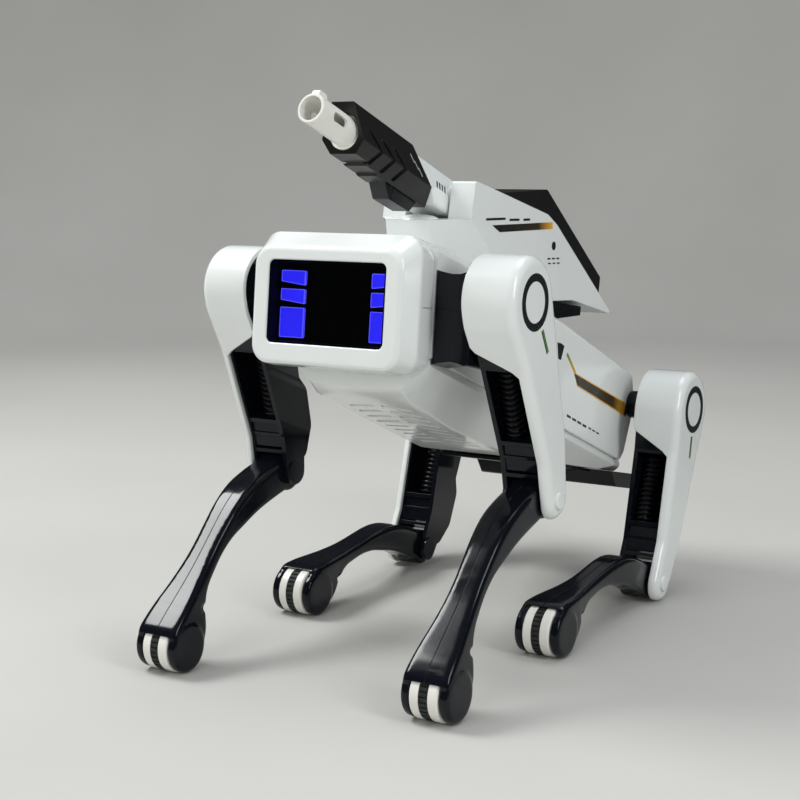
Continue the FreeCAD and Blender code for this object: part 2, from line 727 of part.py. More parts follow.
def barrel_shroud():
    """The dark sleeve: stepped underneath, with chevron grooves in its flanks."""
    block = front_prism(shroud_outline(), 20.0, 108.0)
    profile = side_prism([(24.5, 14.0), (79.0, 14.0), (95.5, -3.5), (102.5, -12.0), (64.6, -12.0),
                          (63.8, -13.0), (56.0, -13.0), (54.6, -11.4), (45.0, -11.4), (43.6, -10.0),
                          (33.0, -10.0)], -14, 14)
    block = block.common(profile)
    for s in (36.0, 47.5, 58.5):
        chevron = [(s, 3.0), (s + 3.0, 3.0), (s + 13.0, -3.5), (s + 10.5, -10.5),
                   (s + 7.5, -10.5), (s + 10.0, -3.5)]
        cut = side_prism(chevron, -14, 14).cut(front_prism(shroud_outline(-1.3), 0, 130))
        block = block.cut(cut)
    bore = Part.makeCylinder(8.4, 140.0, Vector(0, 0, 0), Vector(0, 1, 0))
    return block.cut(bore)


def muzzle():
    """A plain tube with a foresight, two side slots and a collar inside the shroud."""
    start, end = 2.0, 36.8
    pipe = Part.makeCylinder(MUZZLE_RADIUS, end - start, Vector(0, start, 0), Vector(0, 1, 0))
    pipe = round_edges(pipe, 0.4, edges_at("Y", start))
    collar = Part.makeCylinder(8.3, 5.0, Vector(0, end - 5.0, 0), Vector(0, 1, 0))
    sight = side_prism([(2.8, 5.8), (11.0, 5.8), (9.6, 9.0), (4.2, 9.4)], -2.0, 2.0, 0.6)
    tube = joined([pipe, collar, sight])
    slot = side_prism([(11.0, -2.1), (22.0, -2.1), (22.0, 2.1), (11.0, 2.1)], -15, 15, 2.0)
    bore = Part.makeCylinder(MUZZLE_BORE, 60.0, Vector(0, -1, 0), Vector(0, 1, 0))
    return tube.cut(bore).cut(slot)


def underbarrel_block():
    """The torch-like block that hangs under the shroud."""
    points = [(64.9, -12.1), (95.2, -12.1), (90.4, -18.2), (71.0, -18.6)]
    block = side_prism(points, -4.6, 4.6, [0, 0, 1.0, 1.5])
    groove = box(-5.0, -4.1, 72.0, 73.0, -24, -11)
    return block.cut(joined([groove, mirrored(groove)]))


def barrel_housing():
    """The white rear of the barrel, ending in a drum on the pivot pin."""
    neck = front_prism(hexagon(5.4, 9.6, 11.0, -3.8, 6.0, -10.6), 70.0, BARREL_PIVOT_S - 2.0)
    rear = side_prism([(79.3, 14.0), (140.0, 14.0), (140.0, -12.0), (102.8, -12.0), (95.8, -3.5)], -14, 14)
    spigot = Part.makeCylinder(8.3, 62.0, Vector(0, 42.0, 0), Vector(0, 1, 0))
    drum = cross_bar(9.4, -10.6, 10.6, BARREL_PIVOT_S, 0)
    housing = joined([neck.common(rear), spigot, drum])
    bore = Part.makeCylinder(MUZZLE_BORE, 84.0, Vector(0, 38.0, 0), Vector(0, 1, 0))
    pin = cross_bar(2.5 + FIXED_GAP, -20, 20, BARREL_PIVOT_S, 0)
    return housing.cut(bore).cut(pin)


def barrel_pin():
    return cross_bar(2.5, -16.8, 16.8, BARREL_PIVOT_S, 0)


LAUNCHER_SIDE = ((56.0, 231.8), (136.0, 212.0), (147.0, 206.0), (221.0, 150.0), (168.0, 163.0),
                 (140.0, 165.0), (76.0, 192.0), (51.4, 213.2))
LAUNCHER_HOLLOW = ((60.0, 228.0), (135.0, 209.0), (145.0, 203.2), (205.0, 158.0), (169.0, 166.0),
                   (141.0, 168.2), (80.0, 194.0), (56.0, 212.0))
NOSE_Y = 33.0
NOSE_TOP = 213.2
NOSE_BOTTOM = 190.5
MOUTH_HALF_WIDTH = 12.4


def nose_block(inset):
    """The blunt prow of the launcher, which leans back towards its sides lower down."""
    half, tip = LAUNCHER_HALF_WIDTH - inset, 12.7 - inset * 0.5
    wires = []
    for z, side_y, tip_y in ((NOSE_BOTTOM, 77.0, NOSE_Y + 3.0), (NOSE_TOP - inset, 51.4, NOSE_Y)):
        flat = [(tip, tip_y + inset), (half, side_y + inset), (half, 84.0)]
        flat = flat + [(-x, y) for x, y in reversed(flat)]
        points = [Vector(x, y, z) for x, y in flat]
        wires.append(Part.makePolygon(points + points[:1]))
    return Part.makeLoft(wires, True, True)


def launcher_shell():
    pivot = barrel_point(BARREL_PIVOT_S, 0)
    block = side_prism(LAUNCHER_SIDE, -LAUNCHER_HALF_WIDTH, LAUNCHER_HALF_WIDTH,
                       [1.5, 3.0, 5.0, 1.0, 4.0, 4.0, 0, 0])
    inner = LAUNCHER_HALF_WIDTH - WALL
    room = side_prism(LAUNCHER_HOLLOW, -inner, inner)
    nose = nose_block(0).cut(nose_block(WALL)).cut(back_envelope())
    shell = joined([block.cut(room), nose.cut(room)])
    mouth = side_prism([(20.0, NOSE_TOP), (57.0, NOSE_TOP), (61.0, 208.0), (pivot[0] + 13.0, 205.0),
                        (pivot[0] + 13.0, 240.0), (20.0, 240.0)], -MOUTH_HALF_WIDTH, MOUTH_HALF_WIDTH)
    lid_hole = box(-LID_HALF_WIDTH + 2, LID_HALF_WIDTH - 2, 102.0, 215.0, 174.0, 240.0)
    shell = shell.cut(mouth).cut(lid_hole)
    cheek = box(MOUTH_HALF_WIDTH + 0.4, MOUTH_HALF_WIDTH + 4.4, 60.0, 90.0, 204.0, 226.5)
    cheeks = [c.common(side_prism(LAUNCHER_SIDE, -30, 30)) for c in (cheek, mirrored(cheek))]
    shell = joined([shell] + cheeks)
    seat = cross_bar(2.5 + RUNNING_GAP, -16.9, 16.9, pivot[0], pivot[1])
    return shell.cut(seat)


def hopper_cover():
    """The dark lid over the ball hopper, hinged along its front edge."""
    points = [(94.0, 224.6), (147.0, 225.0), (217.0, 172.0), (214.5, 160.5), (147.5, 210.0),
              (136.5, 214.6), (98.0, 224.0)]
    lid = side_prism(points, -LID_HALF_WIDTH, LID_HALF_WIDTH, [0, 3.0, 1.0, 0.5, 0, 0, 0])
    hollow = side_prism([(112.0, 222.6), (146.0, 222.8), (208.0, 175.6), (205.0, 164.0), (146.0, 205.0),
                         (136.0, 208.0)], -LID_HALF_WIDTH + WALL, LID_HALF_WIDTH - WALL)
    return lid.cut(hollow)


def launcher_bracket():
    """The dark rail that carries the launcher on the back."""
    points = [(88.0, 186.6), (140.0, 164.6), (153.0, 163.6), (187.0, 157.6), (186.0, 152.6),
              (156.0, 153.6), (150.0, 140.0), (88.0, 155.0)]
    rail = side_prism(points, -22.0, 22.0, [0, 0, 0, 1.0, 1.0, 2.0, 0, 0])
    return rail.cut(back_envelope())


# ---------------------------------------------------------------- assembly

def collect():
    parts = {}
    for leg in THIGH_ANGLES:
        parts[leg + "_thigh_shell"] = place_thigh(leg, thigh_shell())
        parts[leg + "_thigh_frame"] = place_thigh(leg, thigh_frame())
        parts[leg + "_thigh_spring"] = place_thigh(leg, thigh_spring())
        parts[leg + "_hip_shaft"] = place_thigh(leg, hip_shaft())
        parts[leg + "_shank_outer"] = place_shank(leg, shank_half(True))
        parts[leg + "_shank_inner"] = place_shank(leg, shank_half(False))
        parts[leg + "_shank_pins"] = place_shank(leg, shank_pins())
        parts[leg + "_foot_wheel"] = place_shank(leg, foot_wheel())
        parts[leg + "_foot_tread"] = place_shank(leg, foot_tread())
    for make in (face_bezel, display_window, eye_lights, display_board, head_shell):
        parts[make.__name__] = place_face(make())
    for make in (battery_door, power_switch, battery_pack, main_board, body_screws):
        parts[make.__name__] = pitched(make())
    parts["chassis_tray"] = pitched(chassis_tray().cut(screw_recesses()))
    parts["back_shell"] = pitched(back_shell()).cut(head_envelope())
    parts["belly_shell"] = pitched(belly_shell()).cut(head_envelope())
    housings = at_hips(hip_housing).cut(side_envelope())
    parts["hip_housings"] = pitched(housings).cut(head_envelope())
    parts["hip_motors"] = pitched(at_hips(lambda front: hip_motor()))
    for make in (barrel_shroud, muzzle, underbarrel_block, barrel_housing, barrel_pin):
        parts[make.__name__] = on_barrel(make())
    for make in (launcher_shell, hopper_cover, launcher_bracket):
        parts[make.__name__] = make()
    return parts


os.makedirs("parts", exist_ok=True)
for name, shape in collect().items():
    moved(shape, y=-MID_LENGTH_Y).exportStep("parts/" + name + ".step")
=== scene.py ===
import json
from math import atan2, ceil, cos, degrees, pi, radians, sin, tan, tau

import bmesh
import bpy
from mathutils import Matrix, Vector

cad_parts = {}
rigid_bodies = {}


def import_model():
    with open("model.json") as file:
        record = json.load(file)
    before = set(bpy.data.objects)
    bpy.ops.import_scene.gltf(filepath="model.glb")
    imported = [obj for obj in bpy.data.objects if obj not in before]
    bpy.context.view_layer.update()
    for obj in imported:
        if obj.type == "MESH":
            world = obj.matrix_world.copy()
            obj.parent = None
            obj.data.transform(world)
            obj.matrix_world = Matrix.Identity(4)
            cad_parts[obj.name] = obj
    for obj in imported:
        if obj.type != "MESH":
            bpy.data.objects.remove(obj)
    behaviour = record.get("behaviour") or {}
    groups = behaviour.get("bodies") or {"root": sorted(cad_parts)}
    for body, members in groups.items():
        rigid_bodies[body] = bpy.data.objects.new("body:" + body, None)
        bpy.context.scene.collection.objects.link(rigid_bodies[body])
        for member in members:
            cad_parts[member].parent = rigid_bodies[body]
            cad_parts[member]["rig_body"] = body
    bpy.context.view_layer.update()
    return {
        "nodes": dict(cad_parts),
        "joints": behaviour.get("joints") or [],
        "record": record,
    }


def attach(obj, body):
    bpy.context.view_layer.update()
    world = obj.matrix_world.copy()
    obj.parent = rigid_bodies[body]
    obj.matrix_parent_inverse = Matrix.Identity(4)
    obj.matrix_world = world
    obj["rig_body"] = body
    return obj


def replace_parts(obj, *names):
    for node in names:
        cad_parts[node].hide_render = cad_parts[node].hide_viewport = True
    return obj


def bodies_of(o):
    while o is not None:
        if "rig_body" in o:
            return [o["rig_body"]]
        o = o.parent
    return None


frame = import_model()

# The robot dog's looks. Lengths in the part frames below are millimetres, as in the CAD,
# and MM turns them into the scene's metres. The dog looks along -Y and its left is +X.

MM = 0.001
NODES = frame["nodes"]
SLOTS = {part["node"]: part["material_slot"] for part in frame["record"]["subparts"]}
JOINTS = {joint["name"]: joint for joint in frame["joints"]}
LEGS = ("fl", "fr", "rl", "rr")
BODY_PITCH = 13.0
FACE_TILT = 6.8
FACE_FROM_HIP = (-40.6, -0.9)
BARREL_PITCH = 21.0
BARREL_PIVOT_S = 128.0
WORLD_STRENGTH = 0.56
WORLD_IN_MIRRORS = 0.10


# ---- places

def turn(angle):
    return Matrix.Rotation(radians(angle), 4, "X")


def shift(x=0.0, y=0.0, z=0.0):
    return Matrix.Translation(Vector((x, y, z)) * MM)


def pivot(joint):
    return Vector(JOINTS[joint]["pos_m"])


def at(point):
    """Stand a part frame on the middle plane, level with a point."""
    return Matrix.Translation((0.0, point[1], point[2]))


def lean(start, end):
    """The angle that swings a hanging part from start towards end."""
    return degrees(atan2(end[1] - start[1], start[2] - end[2]))


def mirrored(leg):
    return Matrix.Diagonal((-1.0 if leg[1] == "r" else 1.0, 1.0, 1.0, 1.0))


def thigh_place(leg):
    hip, knee = pivot(leg + "_hip"), pivot(leg + "_knee")
    return mirrored(leg) @ at(hip) @ turn(lean(hip, knee))


def shank_place(leg):
    knee, wheel = pivot(leg + "_knee"), pivot(leg + "_wheel_spin")
    side = Matrix.Translation((abs(knee[0]), 0, 0))
    return mirrored(leg) @ side @ at(knee) @ turn(lean(knee, wheel))


HIP = pivot("fl_hip")
TRUNK_PLACE = at(HIP) @ turn(-BODY_PITCH)
LEVEL_PLACE = at(Vector((0.0, HIP[1], 0.0)))
FACE_PLACE = at(HIP) @ shift(0, *FACE_FROM_HIP) @ turn(-FACE_TILT)
BARREL_PLACE = at(pivot("barrel_pitch")) @ turn(-BARREL_PITCH) @ shift(0, -BARREL_PIVOT_S, 0)


# ---- materials

class Recipe:
    """A material under construction, with short calls that add and join nodes."""

    def __init__(self, name):
        self.material = bpy.data.materials.new(name)
        self.material.use_nodes = True
        self.tree = self.material.node_tree
        self.surface = self.tree.nodes["Principled BSDF"]
        self.place = self.node("TexCoord").outputs["Object"]

    def node(self, kind, inputs=None, **settings):
        made = self.tree.nodes.new("ShaderNode" + kind)
        for key, value in settings.items():
            setattr(made, key, value)
        for key, value in (inputs or {}).items():
            self.feed(made.inputs[key], value)
        return made

    def feed(self, socket, value):
        if isinstance(value, bpy.types.NodeSocket):
            self.tree.links.new(value, socket)
        else:
            socket.default_value = value

    def set(self, **inputs):
        for key, value in inputs.items():
            self.feed(self.surface.inputs[key.replace("_", " ")], value)

    def noise(self, scale, detail=3.0, stretch=(1.0, 1.0, 1.0), roughness=0.5):
        mapping = self.node("Mapping", {"Vector": self.place, "Scale": stretch})
        made = self.node("TexNoise", {"Vector": mapping.outputs[0], "Scale": scale,
                                      "Detail": detail, "Roughness": roughness})
        return made.outputs["Fac"]

    def remap(self, value, low, high, to_low=0.0, to_high=1.0):
        made = self.node("MapRange", {"Value": value, "From Min": low, "From Max": high,
                                      "To Min": to_low, "To Max": to_high})
        return made.outputs["Result"]

    def uneven(self, scale, low, high):
        """A value that drifts between two limits over the surface."""
        return self.remap(self.noise(scale), 0.3, 0.7, low, high)

    def math(self, operation, a, b=0.0):
        return self.node("Math", {0: a, 1: b}, operation=operation).outputs[0]

    def mix(self, factor, a, b):
        return self.node("Mix", {0: factor, 6: a, 7: b}, data_type="RGBA").outputs[2]

    def rounded(self, radius):
        """The surface normal with its edges rounded off, and a mask of those edges."""
        soft = self.node("Bevel", {"Radius": radius * MM}, samples=4).outputs[0]
        dot = self.node("VectorMath", {0: soft, 1: self.normal()}, operation="DOT_PRODUCT")
        return soft, self.remap(dot.outputs["Value"], 0.995, 0.80)

    def bump(self, height, strength, distance, normal):
        made = self.node("Bump", {"Height": height, "Strength": strength,
                                  "Distance": distance * MM, "Normal": normal})
        return made.outputs[0]

    def normal(self):
        return self.node("NewGeometry").outputs["Normal"]


def colour(r, g, b):
    return (r, g, b, 1.0)


def tinted(base, factor):
    return colour(*(min(1.0, channel * factor) for channel in base[:3]))


def moulded(name, base, worn, rough, grain, grain_depth, coat=0.0, edge=0.5, streaks=0.0,
            wear=0.5, shine=0.5):
    """Injection-moulded plastic: faint cloudy colour, fine grain, hairline rubs and worn edges."""
    recipe = Recipe(name)
    soft, edges = recipe.rounded(edge)
    cloud = recipe.noise(14.0, 4.0)
    body = recipe.mix(recipe.remap(cloud, 0.3, 0.7), tinted(base, 0.955), tinted(base, 1.03))
    patchy = recipe.math("MULTIPLY", edges, recipe.remap(recipe.noise(160.0, 4.0), 0.42, 0.66))
    body = recipe.mix(recipe.math("MULTIPLY", patchy, wear), body, worn)
    rub = recipe.noise(55.0, 6.0, (1.0, 6.0, 1.4), 0.7)
    gloss = recipe.remap(recipe.noise(38.0, 5.0), 0.3, 0.72, rough[0], rough[1])
    rubbed = recipe.math("MULTIPLY", recipe.remap(rub, 0.56, 0.78), streaks)
    scuffed = recipe.math("ADD", gloss, rubbed)
    roughness = recipe.math("ADD", scuffed, recipe.math("MULTIPLY", patchy, 0.16))
    normal = recipe.bump(recipe.noise(grain, 2.0), grain_depth, 0.05, soft)
    recipe.set(Base_Color=body, Roughness=roughness, Normal=normal, Coat_Weight=coat,
               Coat_Roughness=0.07, Specular_IOR_Level=shine)
    return recipe.material


def ribbed_rubber(name):
    recipe = Recipe(name)
    soft, edges = recipe.rounded(0.25)
    dust = recipe.math("MULTIPLY", recipe.remap(recipe.noise(300.0, 6.0), 0.45, 0.7), 0.5)
    body = recipe.mix(dust, colour(0.012, 0.016, 0.014), colour(0.05, 0.055, 0.05))
    body = recipe.mix(recipe.math("MULTIPLY", edges, 0.5), body, colour(0.075, 0.08, 0.075))
    normal = recipe.bump(recipe.noise(1500.0, 3.0), 0.35, 0.05, soft)
    recipe.set(Base_Color=body, Roughness=recipe.uneven(90.0, 0.55, 0.8), Normal=normal)
    return recipe.material


def brushed_metal(name, base, along):
    """Turned or drawn steel, with fine lines round the shaft."""
    recipe = Recipe(name)
    soft, edges = recipe.rounded(0.2)
    lines = recipe.noise(420.0, 3.0, along)
    body = recipe.mix(recipe.remap(lines, 0.35, 0.65), tinted(base, 0.8), tinted(base, 1.1))
    body = recipe.mix(recipe.math("MULTIPLY", edges, 0.6), body, colour(0.85, 0.85, 0.86))
    normal = recipe.bump(lines, 0.2, 0.03, soft)
    recipe.set(Base_Color=body, Metallic=1.0, Normal=normal,
               Roughness=recipe.remap(lines, 0.3, 0.7, 0.22, 0.4))
    return recipe.material


def smoked_glass(name):
    """The dark, polished window: clear enough for the lights, with a mirror-like face."""
    recipe = Recipe(name)
    smear = recipe.remap(recipe.noise(45.0, 5.0, (1.0, 1.0, 2.5)), 0.35, 0.75)
    clear = recipe.node("BsdfTransparent", {"Color": colour(0.62, 0.62, 0.66)})
    shine = recipe.node("BsdfGlossy", {"Color": colour(0.9, 0.92, 1.0),
                                       "Roughness": recipe.math("MULTIPLY", smear, 0.09)})
    fresnel = recipe.node("Fresnel", {"IOR": 1.42}).outputs[0]
    inside = recipe.node("NewGeometry").outputs["Backfacing"]
    facing = recipe.math("MULTIPLY", fresnel, recipe.math("SUBTRACT", 1.0, inside))
    pane = recipe.node("MixShader", {0: facing, 1: clear.outputs[0], 2: shine.outputs[0]})
    out = recipe.tree.nodes["Material Output"]
    recipe.feed(out.inputs["Surface"], pane.outputs[0])
    return recipe.material


def lit_block(name):
    """A display block: saturated blue with a faint cell grid and a brighter rim."""
    recipe = Recipe(name)
    soft, edges = recipe.rounded(0.9)
    cells = recipe.node("TexVoronoi", {"Vector": recipe.place, "Scale": 900.0},
                        distance="CHEBYCHEV")
    grid = recipe.remap(cells.outputs["Distance"], 0.1, 0.6, 1.0, 0.86)
    drift = recipe.uneven(60.0, 0.9, 1.06)
    rim = recipe.math("ADD", recipe.math("MULTIPLY", edges, 0.9), 1.0)
    power = recipe.math("MULTIPLY", recipe.math("MULTIPLY", grid, drift), rim)
    recipe.set(Base_Color=colour(0.02, 0.02, 0.3), Roughness=0.4, Normal=soft,
               Emission_Color=recipe.mix(edges, colour(0.030, 0.026, 1.0),
                                         colour(0.14, 0.13, 1.0)),
               Emission_Strength=recipe.math("MULTIPLY", power, 2.3))
    return recipe.material


def solder_mask(name, base, shine=0.5):
    """Circuit board lacquer with pale traces."""
    recipe = Recipe(name)
    soft, edges = recipe.rounded(0.2)
    traces = recipe.node("TexBrick", {"Vector": recipe.place, "Scale": 260.0, "Mortar Size": 0.03,
                                      "Color1": tinted(base, 1.0), "Color2": tinted(base, 0.8),
                                      "Mortar": tinted(base, 1.9)})
    worn = recipe.math("MULTIPLY", edges, 0.5)
    body = recipe.mix(worn, traces.outputs["Color"], tinted(base, 2.2))
    normal = recipe.bump(recipe.noise(700.0), 0.1, 0.03, soft)
    recipe.set(Base_Color=body, Roughness=recipe.uneven(120.0, 0.3, 0.5), Normal=normal,
               Specular_IOR_Level=shine)
    return recipe.material


def printed_ink(name):
    """Pad-printed ink: its colour is painted on the piece, slightly uneven and satin."""
    recipe = Recipe(name)
    paint = recipe.node("Attribute", attribute_name="ink").outputs["Color"]
    specks = recipe.remap(recipe.noise(900.0, 4.0), 0.66, 0.74, 0.0, 0.35)
    body = recipe.mix(specks, paint, colour(0.55, 0.56, 0.55))
    normal = recipe.bump(recipe.noise(600.0), 0.08, 0.03, recipe.normal())
    recipe.set(Base_Color=body, Roughness=recipe.uneven(80.0, 0.24, 0.42), Normal=normal)
    return recipe.material


def floor_card_with_painted_reflection(name):
    """Pale card; in mirror-like surfaces its far parts are painted near black, a painted dark
    reflection standing in for a dim studio's walls.
    """
    recipe = Recipe(name)
    cloud = recipe.remap(recipe.noise(3.0, 5.0), 0.3, 0.7)
    body = recipe.mix(cloud, colour(0.49, 0.48, 0.455), colour(0.53, 0.52, 0.495))
    away = recipe.node("VectorMath", {0: recipe.place}, operation="LENGTH").outputs["Value"]
    glossy = recipe.node("LightPath").outputs["Is Glossy Ray"]
    # painted reflection: for glossy rays the floor beyond about 0.22 m turns near black, which
    # darkens what glossy parts mirror
    painted_dark_reflection = recipe.math("MULTIPLY", recipe.remap(away, 0.22, 0.6), glossy)
    body = recipe.mix(painted_dark_reflection, body, colour(0.06, 0.063, 0.066))
    normal = recipe.bump(recipe.noise(420.0, 2.0), 0.05, 0.1, recipe.normal())
    recipe.set(Base_Color=body, Roughness=0.8, Normal=normal, Specular_IOR_Level=0.1)
    return recipe.material


WORN_WHITE = colour(0.62, 0.63, 0.62)
WORN_BLACK = colour(0.11, 0.115, 0.12)
FINISH = {
    "white_shell": moulded("white_shell", colour(0.80, 0.825, 0.81), WORN_WHITE, (0.13, 0.25),
                           260.0, 0.02, coat=0.35, edge=0.7, streaks=0.10, wear=0.35),
    "black_gloss": moulded("black_gloss", colour(0.004, 0.005, 0.008), WORN_BLACK, (0.07, 0.17),
                           420.0, 0.02, coat=0.10, edge=0.5, streaks=0.20, wear=0.25, shine=0.22),
    "black_satin": moulded("black_satin", colour(0.0055, 0.006, 0.008), WORN_BLACK, (0.24, 0.38),
                           1300.0, 0.12, edge=0.35, streaks=0.10, wear=0.3, shine=0.3),
    "warm_white": moulded("warm_white", colour(0.80, 0.785, 0.73), colour(0.66, 0.64, 0.58),
                          (0.3, 0.45), 1100.0, 0.08, edge=0.4, streaks=0.08, wear=0.4),
    "dark_cover": moulded("dark_cover", colour(0.011, 0.011, 0.010), colour(0.10, 0.10, 0.09),
                          (0.24, 0.36), 1200.0, 0.10, coat=0.08, edge=0.45, streaks=0.12,
                          wear=0.4, shine=0.35),
    "window_black": smoked_glass("window_black"),
    "blue_light": lit_block("blue_light"),
    "tread_rubber": ribbed_rubber("tread_rubber"),
    "steel_pin": brushed_metal("steel_pin", colour(0.56, 0.56, 0.57), (1.0, 0.05, 0.05)),
    "circuit": solder_mask("circuit", colour(0.04, 0.20, 0.10)),
    "cell_wrap": moulded("cell_wrap", colour(0.10, 0.22, 0.50), colour(0.4, 0.45, 0.55),
                         (0.2, 0.35), 500.0, 0.05, edge=0.4),
    "motor_case": brushed_metal("motor_case", colour(0.50, 0.51, 0.53), (0.05, 1.0, 1.0)),
}
DISPLAY_DARK = solder_mask("display_dark", colour(0.0012, 0.0012, 0.003), shine=0.05)
INK = printed_ink("printed_ink")


# ---- geometry

CREASE = 32.0


def add_piece(name, mesh, material, body):
    piece = bpy.data.objects.new(name, mesh)
    bpy.context.scene.collection.objects.link(piece)
    mesh.materials.clear()
    mesh.materials.append(material)
    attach(piece, body)
    return piece


def body_of(node):
    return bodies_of(NODES[node])[0]


def add_beside(node, name, bm, place=None, material=None, crease=CREASE):
    """A piece with no CAD node of its own, in the slot and on the body of another node."""
    slot = SLOTS[node]
    mesh = mesh_from(bm, name, place, crease)
    return add_piece(name, mesh, material or FINISH[slot], body_of(node))


def stand_in(node, bm, place=None, name=None, **choices):
    """A finer piece that is shown in place of a CAD node."""
    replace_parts(add_beside(node, name or node + "_skin", bm, place, **choices), node)


def closed_mesh(bm, name):
    bmesh.ops.recalc_face_normals(bm, faces=bm.faces)
    mesh = bpy.data.meshes.new(name)
    bm.to_mesh(mesh)
    bm.free()
    return mesh


def bmesh_of(mesh):
    bm = bmesh.new()
    bm.from_mesh(mesh)
    return bm


def mesh_from(bm, name, place=None, crease=CREASE):
    """Turn a bmesh into a smooth-shaded mesh whose sharp corners stay sharp."""
    if place is not None:
        bmesh.ops.transform(bm, matrix=place @ Matrix.Scale(MM, 4), verts=bm.verts)
    mesh = closed_mesh(bm, name)
    for key in ("custom_normal", "sharp_face", "sharp_edge"):
        if key in mesh.attributes:
            mesh.attributes.remove(mesh.attributes[key])
    mesh.shade_smooth()
    mesh.set_sharp_from_angle(angle=radians(crease))
    return applied(mesh, "WEIGHTED_NORMAL", keep_sharp=True)


def applied(mesh, kind, **settings):
    """The mesh with a modifier applied."""
    piece = bpy.data.objects.new("bench", mesh)
    bpy.context.scene.collection.objects.link(piece)
    modifier = piece.modifiers.new(kind.lower(), kind)
    for key, value in settings.items():
        setattr(modifier, key, value)
    graph = bpy.context.evaluated_depsgraph_get()
    done = bpy.data.meshes.new_from_object(piece.evaluated_get(graph))
    bpy.data.objects.remove(piece)
    return done


def carved(bm, cutter):
    """A closed shape with another one taken away."""
    tool = bpy.data.objects.new("cutter", closed_mesh(cutter, "cutter"))
    bpy.context.scene.collection.objects.link(tool)
    done = applied(closed_mesh(bm, "carved"), "BOOLEAN", object=tool, operation="DIFFERENCE",
                   solver="EXACT")
    bpy.data.objects.remove(tool)
    return bmesh_of(done)


def voxelled(bm, size):
    """A closed shape made anew as one skin of small quads."""
    done = applied(closed_mesh(bm, "voxelled"), "REMESH", mode="VOXEL", voxel_size=size)
    return bmesh_of(done)


def trim(bm, point, way):
    """Cut away what lies behind a plane, and close the cut."""
    every = bm.verts[:] + bm.edges[:] + bm.faces[:]
    cut = bmesh.ops.bisect_plane(bm, geom=every, plane_co=point, plane_no=way, clear_inner=True)
    rim = [e for e in cut["geom_cut"] if isinstance(e, bmesh.types.BMEdge)]
    bmesh.ops.holes_fill(bm, edges=rim)


def skin(bm, rings, closed=True, loop=False, hubs=None):
    """Quads between rings of points that match one to one. The end rings are capped, each by one
    face or by a fan round its hub."""
    rows = [[bm.verts.new(point) for point in ring] for ring in rings]
    count = len(rows[0])
    pairs = list(zip(rows, rows[1:])) + ([(rows[-1], rows[0])] if loop else [])
    for low, high in pairs:
        for i in range(count):
            j = (i + 1) % count
            bm.faces.new((low[i], low[j], high[j], high[i]))
    if hubs is not None:
        for row, hub in zip((rows[0], rows[-1]), hubs):
            centre = bm.verts.new(hub)
            for i in range(count):
                bm.faces.new((row[i - 1], row[i], centre))
    elif closed and not loop:
        bm.faces.new(rows[0][::-1])
        bm.faces.new(rows[-1])
    return rows


def block(bm, low, high):
    """A box between two corners."""
    (x0, y0, z0), (x1, y1, z1) = low, high
    skin(bm, [[(x0, y0, z), (x1, y0, z), (x1, y1, z), (x0, y1, z)] for z in (z0, z1)])


def circle(radius, sides, u=0.0, v=0.0):
    """Points evenly round a circle with its centre at (u, v)."""
    turns = [tau * i / sides for i in range(sides)]
    return [(u + radius * cos(a), v + radius * sin(a)) for a in turns]


def rounded_rectangle(half_u, low_v, high_v, corner, steps):
    """Points round a rectangle that is the same on both sides of the middle."""
    u, low, high = half_u - corner, low_v + corner, high_v - corner
    return [(u0 + corner * cos(a), v0 + corner * sin(a))
            for quarter, (u0, v0) in enumerate(((u, high), (-u, high), (-u, low), (u, low)))
            for a in (pi / 2 * (quarter + i / steps) for i in range(steps + 1))]


def lathe(bm, profile, y=0.0, z=0.0, sides=48):
    """Turn (x, radius) points about an axis across the dog; the ends are closed."""
    skin(bm, [[(x, v, u) for u, v in circle(r, sides, z, y)] for x, r in profile])


def both_ways(half):
    """A profile that is the same on both sides of the middle, from its positive half."""
    return [(-x, r) for x, r in half] + list(reversed(half))


def corner_arc(before, corner, after, radius, steps):
    """Points round one rounded corner of a flat outline."""
    corner = Vector(corner)
    u = (Vector(before) - corner).normalized()
    v = (Vector(after) - corner).normalized()
    half = u.angle(v) / 2
    centre = corner + (u + v).normalized() * (radius / sin(half))
    start = corner + u * (radius / tan(half)) - centre
    end = corner + v * (radius / tan(half)) - centre
    sweep = start.angle(end)
    points = []
    for i in range(steps + 1):
        t = i / steps
        mixed = start * sin((1 - t) * sweep) + end * sin(t * sweep)
        points.append(centre + mixed / sin(sweep))
    return points


SHORTEST_SIDE = 0.25


def rounded_outline(points, radii, longest=3.0, bend=7.0):
    """A flat outline with rounded corners; long sides are split up, very short ones skipped."""
    out = []
    count = len(points)
    for i in range(count):
        before, corner, after = points[i - 1], points[i], points[(i + 1) % count]
        u = Vector(before) - Vector(corner)
        v = Vector(after) - Vector(corner)
        steps = max(2, round((180 - degrees(u.angle(v))) / bend))
        out.extend(corner_arc(before, corner, after, radii[i], steps))
    split = []
    for i, point in enumerate(out):
        following = out[(i + 1) % len(out)]
        gap = (following - point).length
        pieces = ceil(gap / longest) if gap > SHORTEST_SIDE else 0
        split.extend(point.lerp(following, k / pieces) for k in range(pieces))
    return split


def inward(outline):
    """Unit normals that point into a flat outline."""
    count = len(outline)
    area = sum(outline[i - 1].cross(outline[i]) for i in range(count))
    side = 1.0 if area > 0 else -1.0
    normals = []
    for i in range(count):
        along = (outline[(i + 1) % count] - outline[i - 1]).normalized()
        normals.append(Vector((-along.y, along.x)) * side)
    return normals


def fillet_profile(radius, steps):
    """(inset, drop) pairs from the side of a rounded edge to its top."""
    turns = [pi / 2 * i / steps for i in range(steps + 1)]
    return [(radius * (1 - cos(a)), radius * (1 - sin(a))) for a in turns]


WELD = 2e-6
FLAT_ANGLE = 0.7
CORNER_ANGLE = 24.0


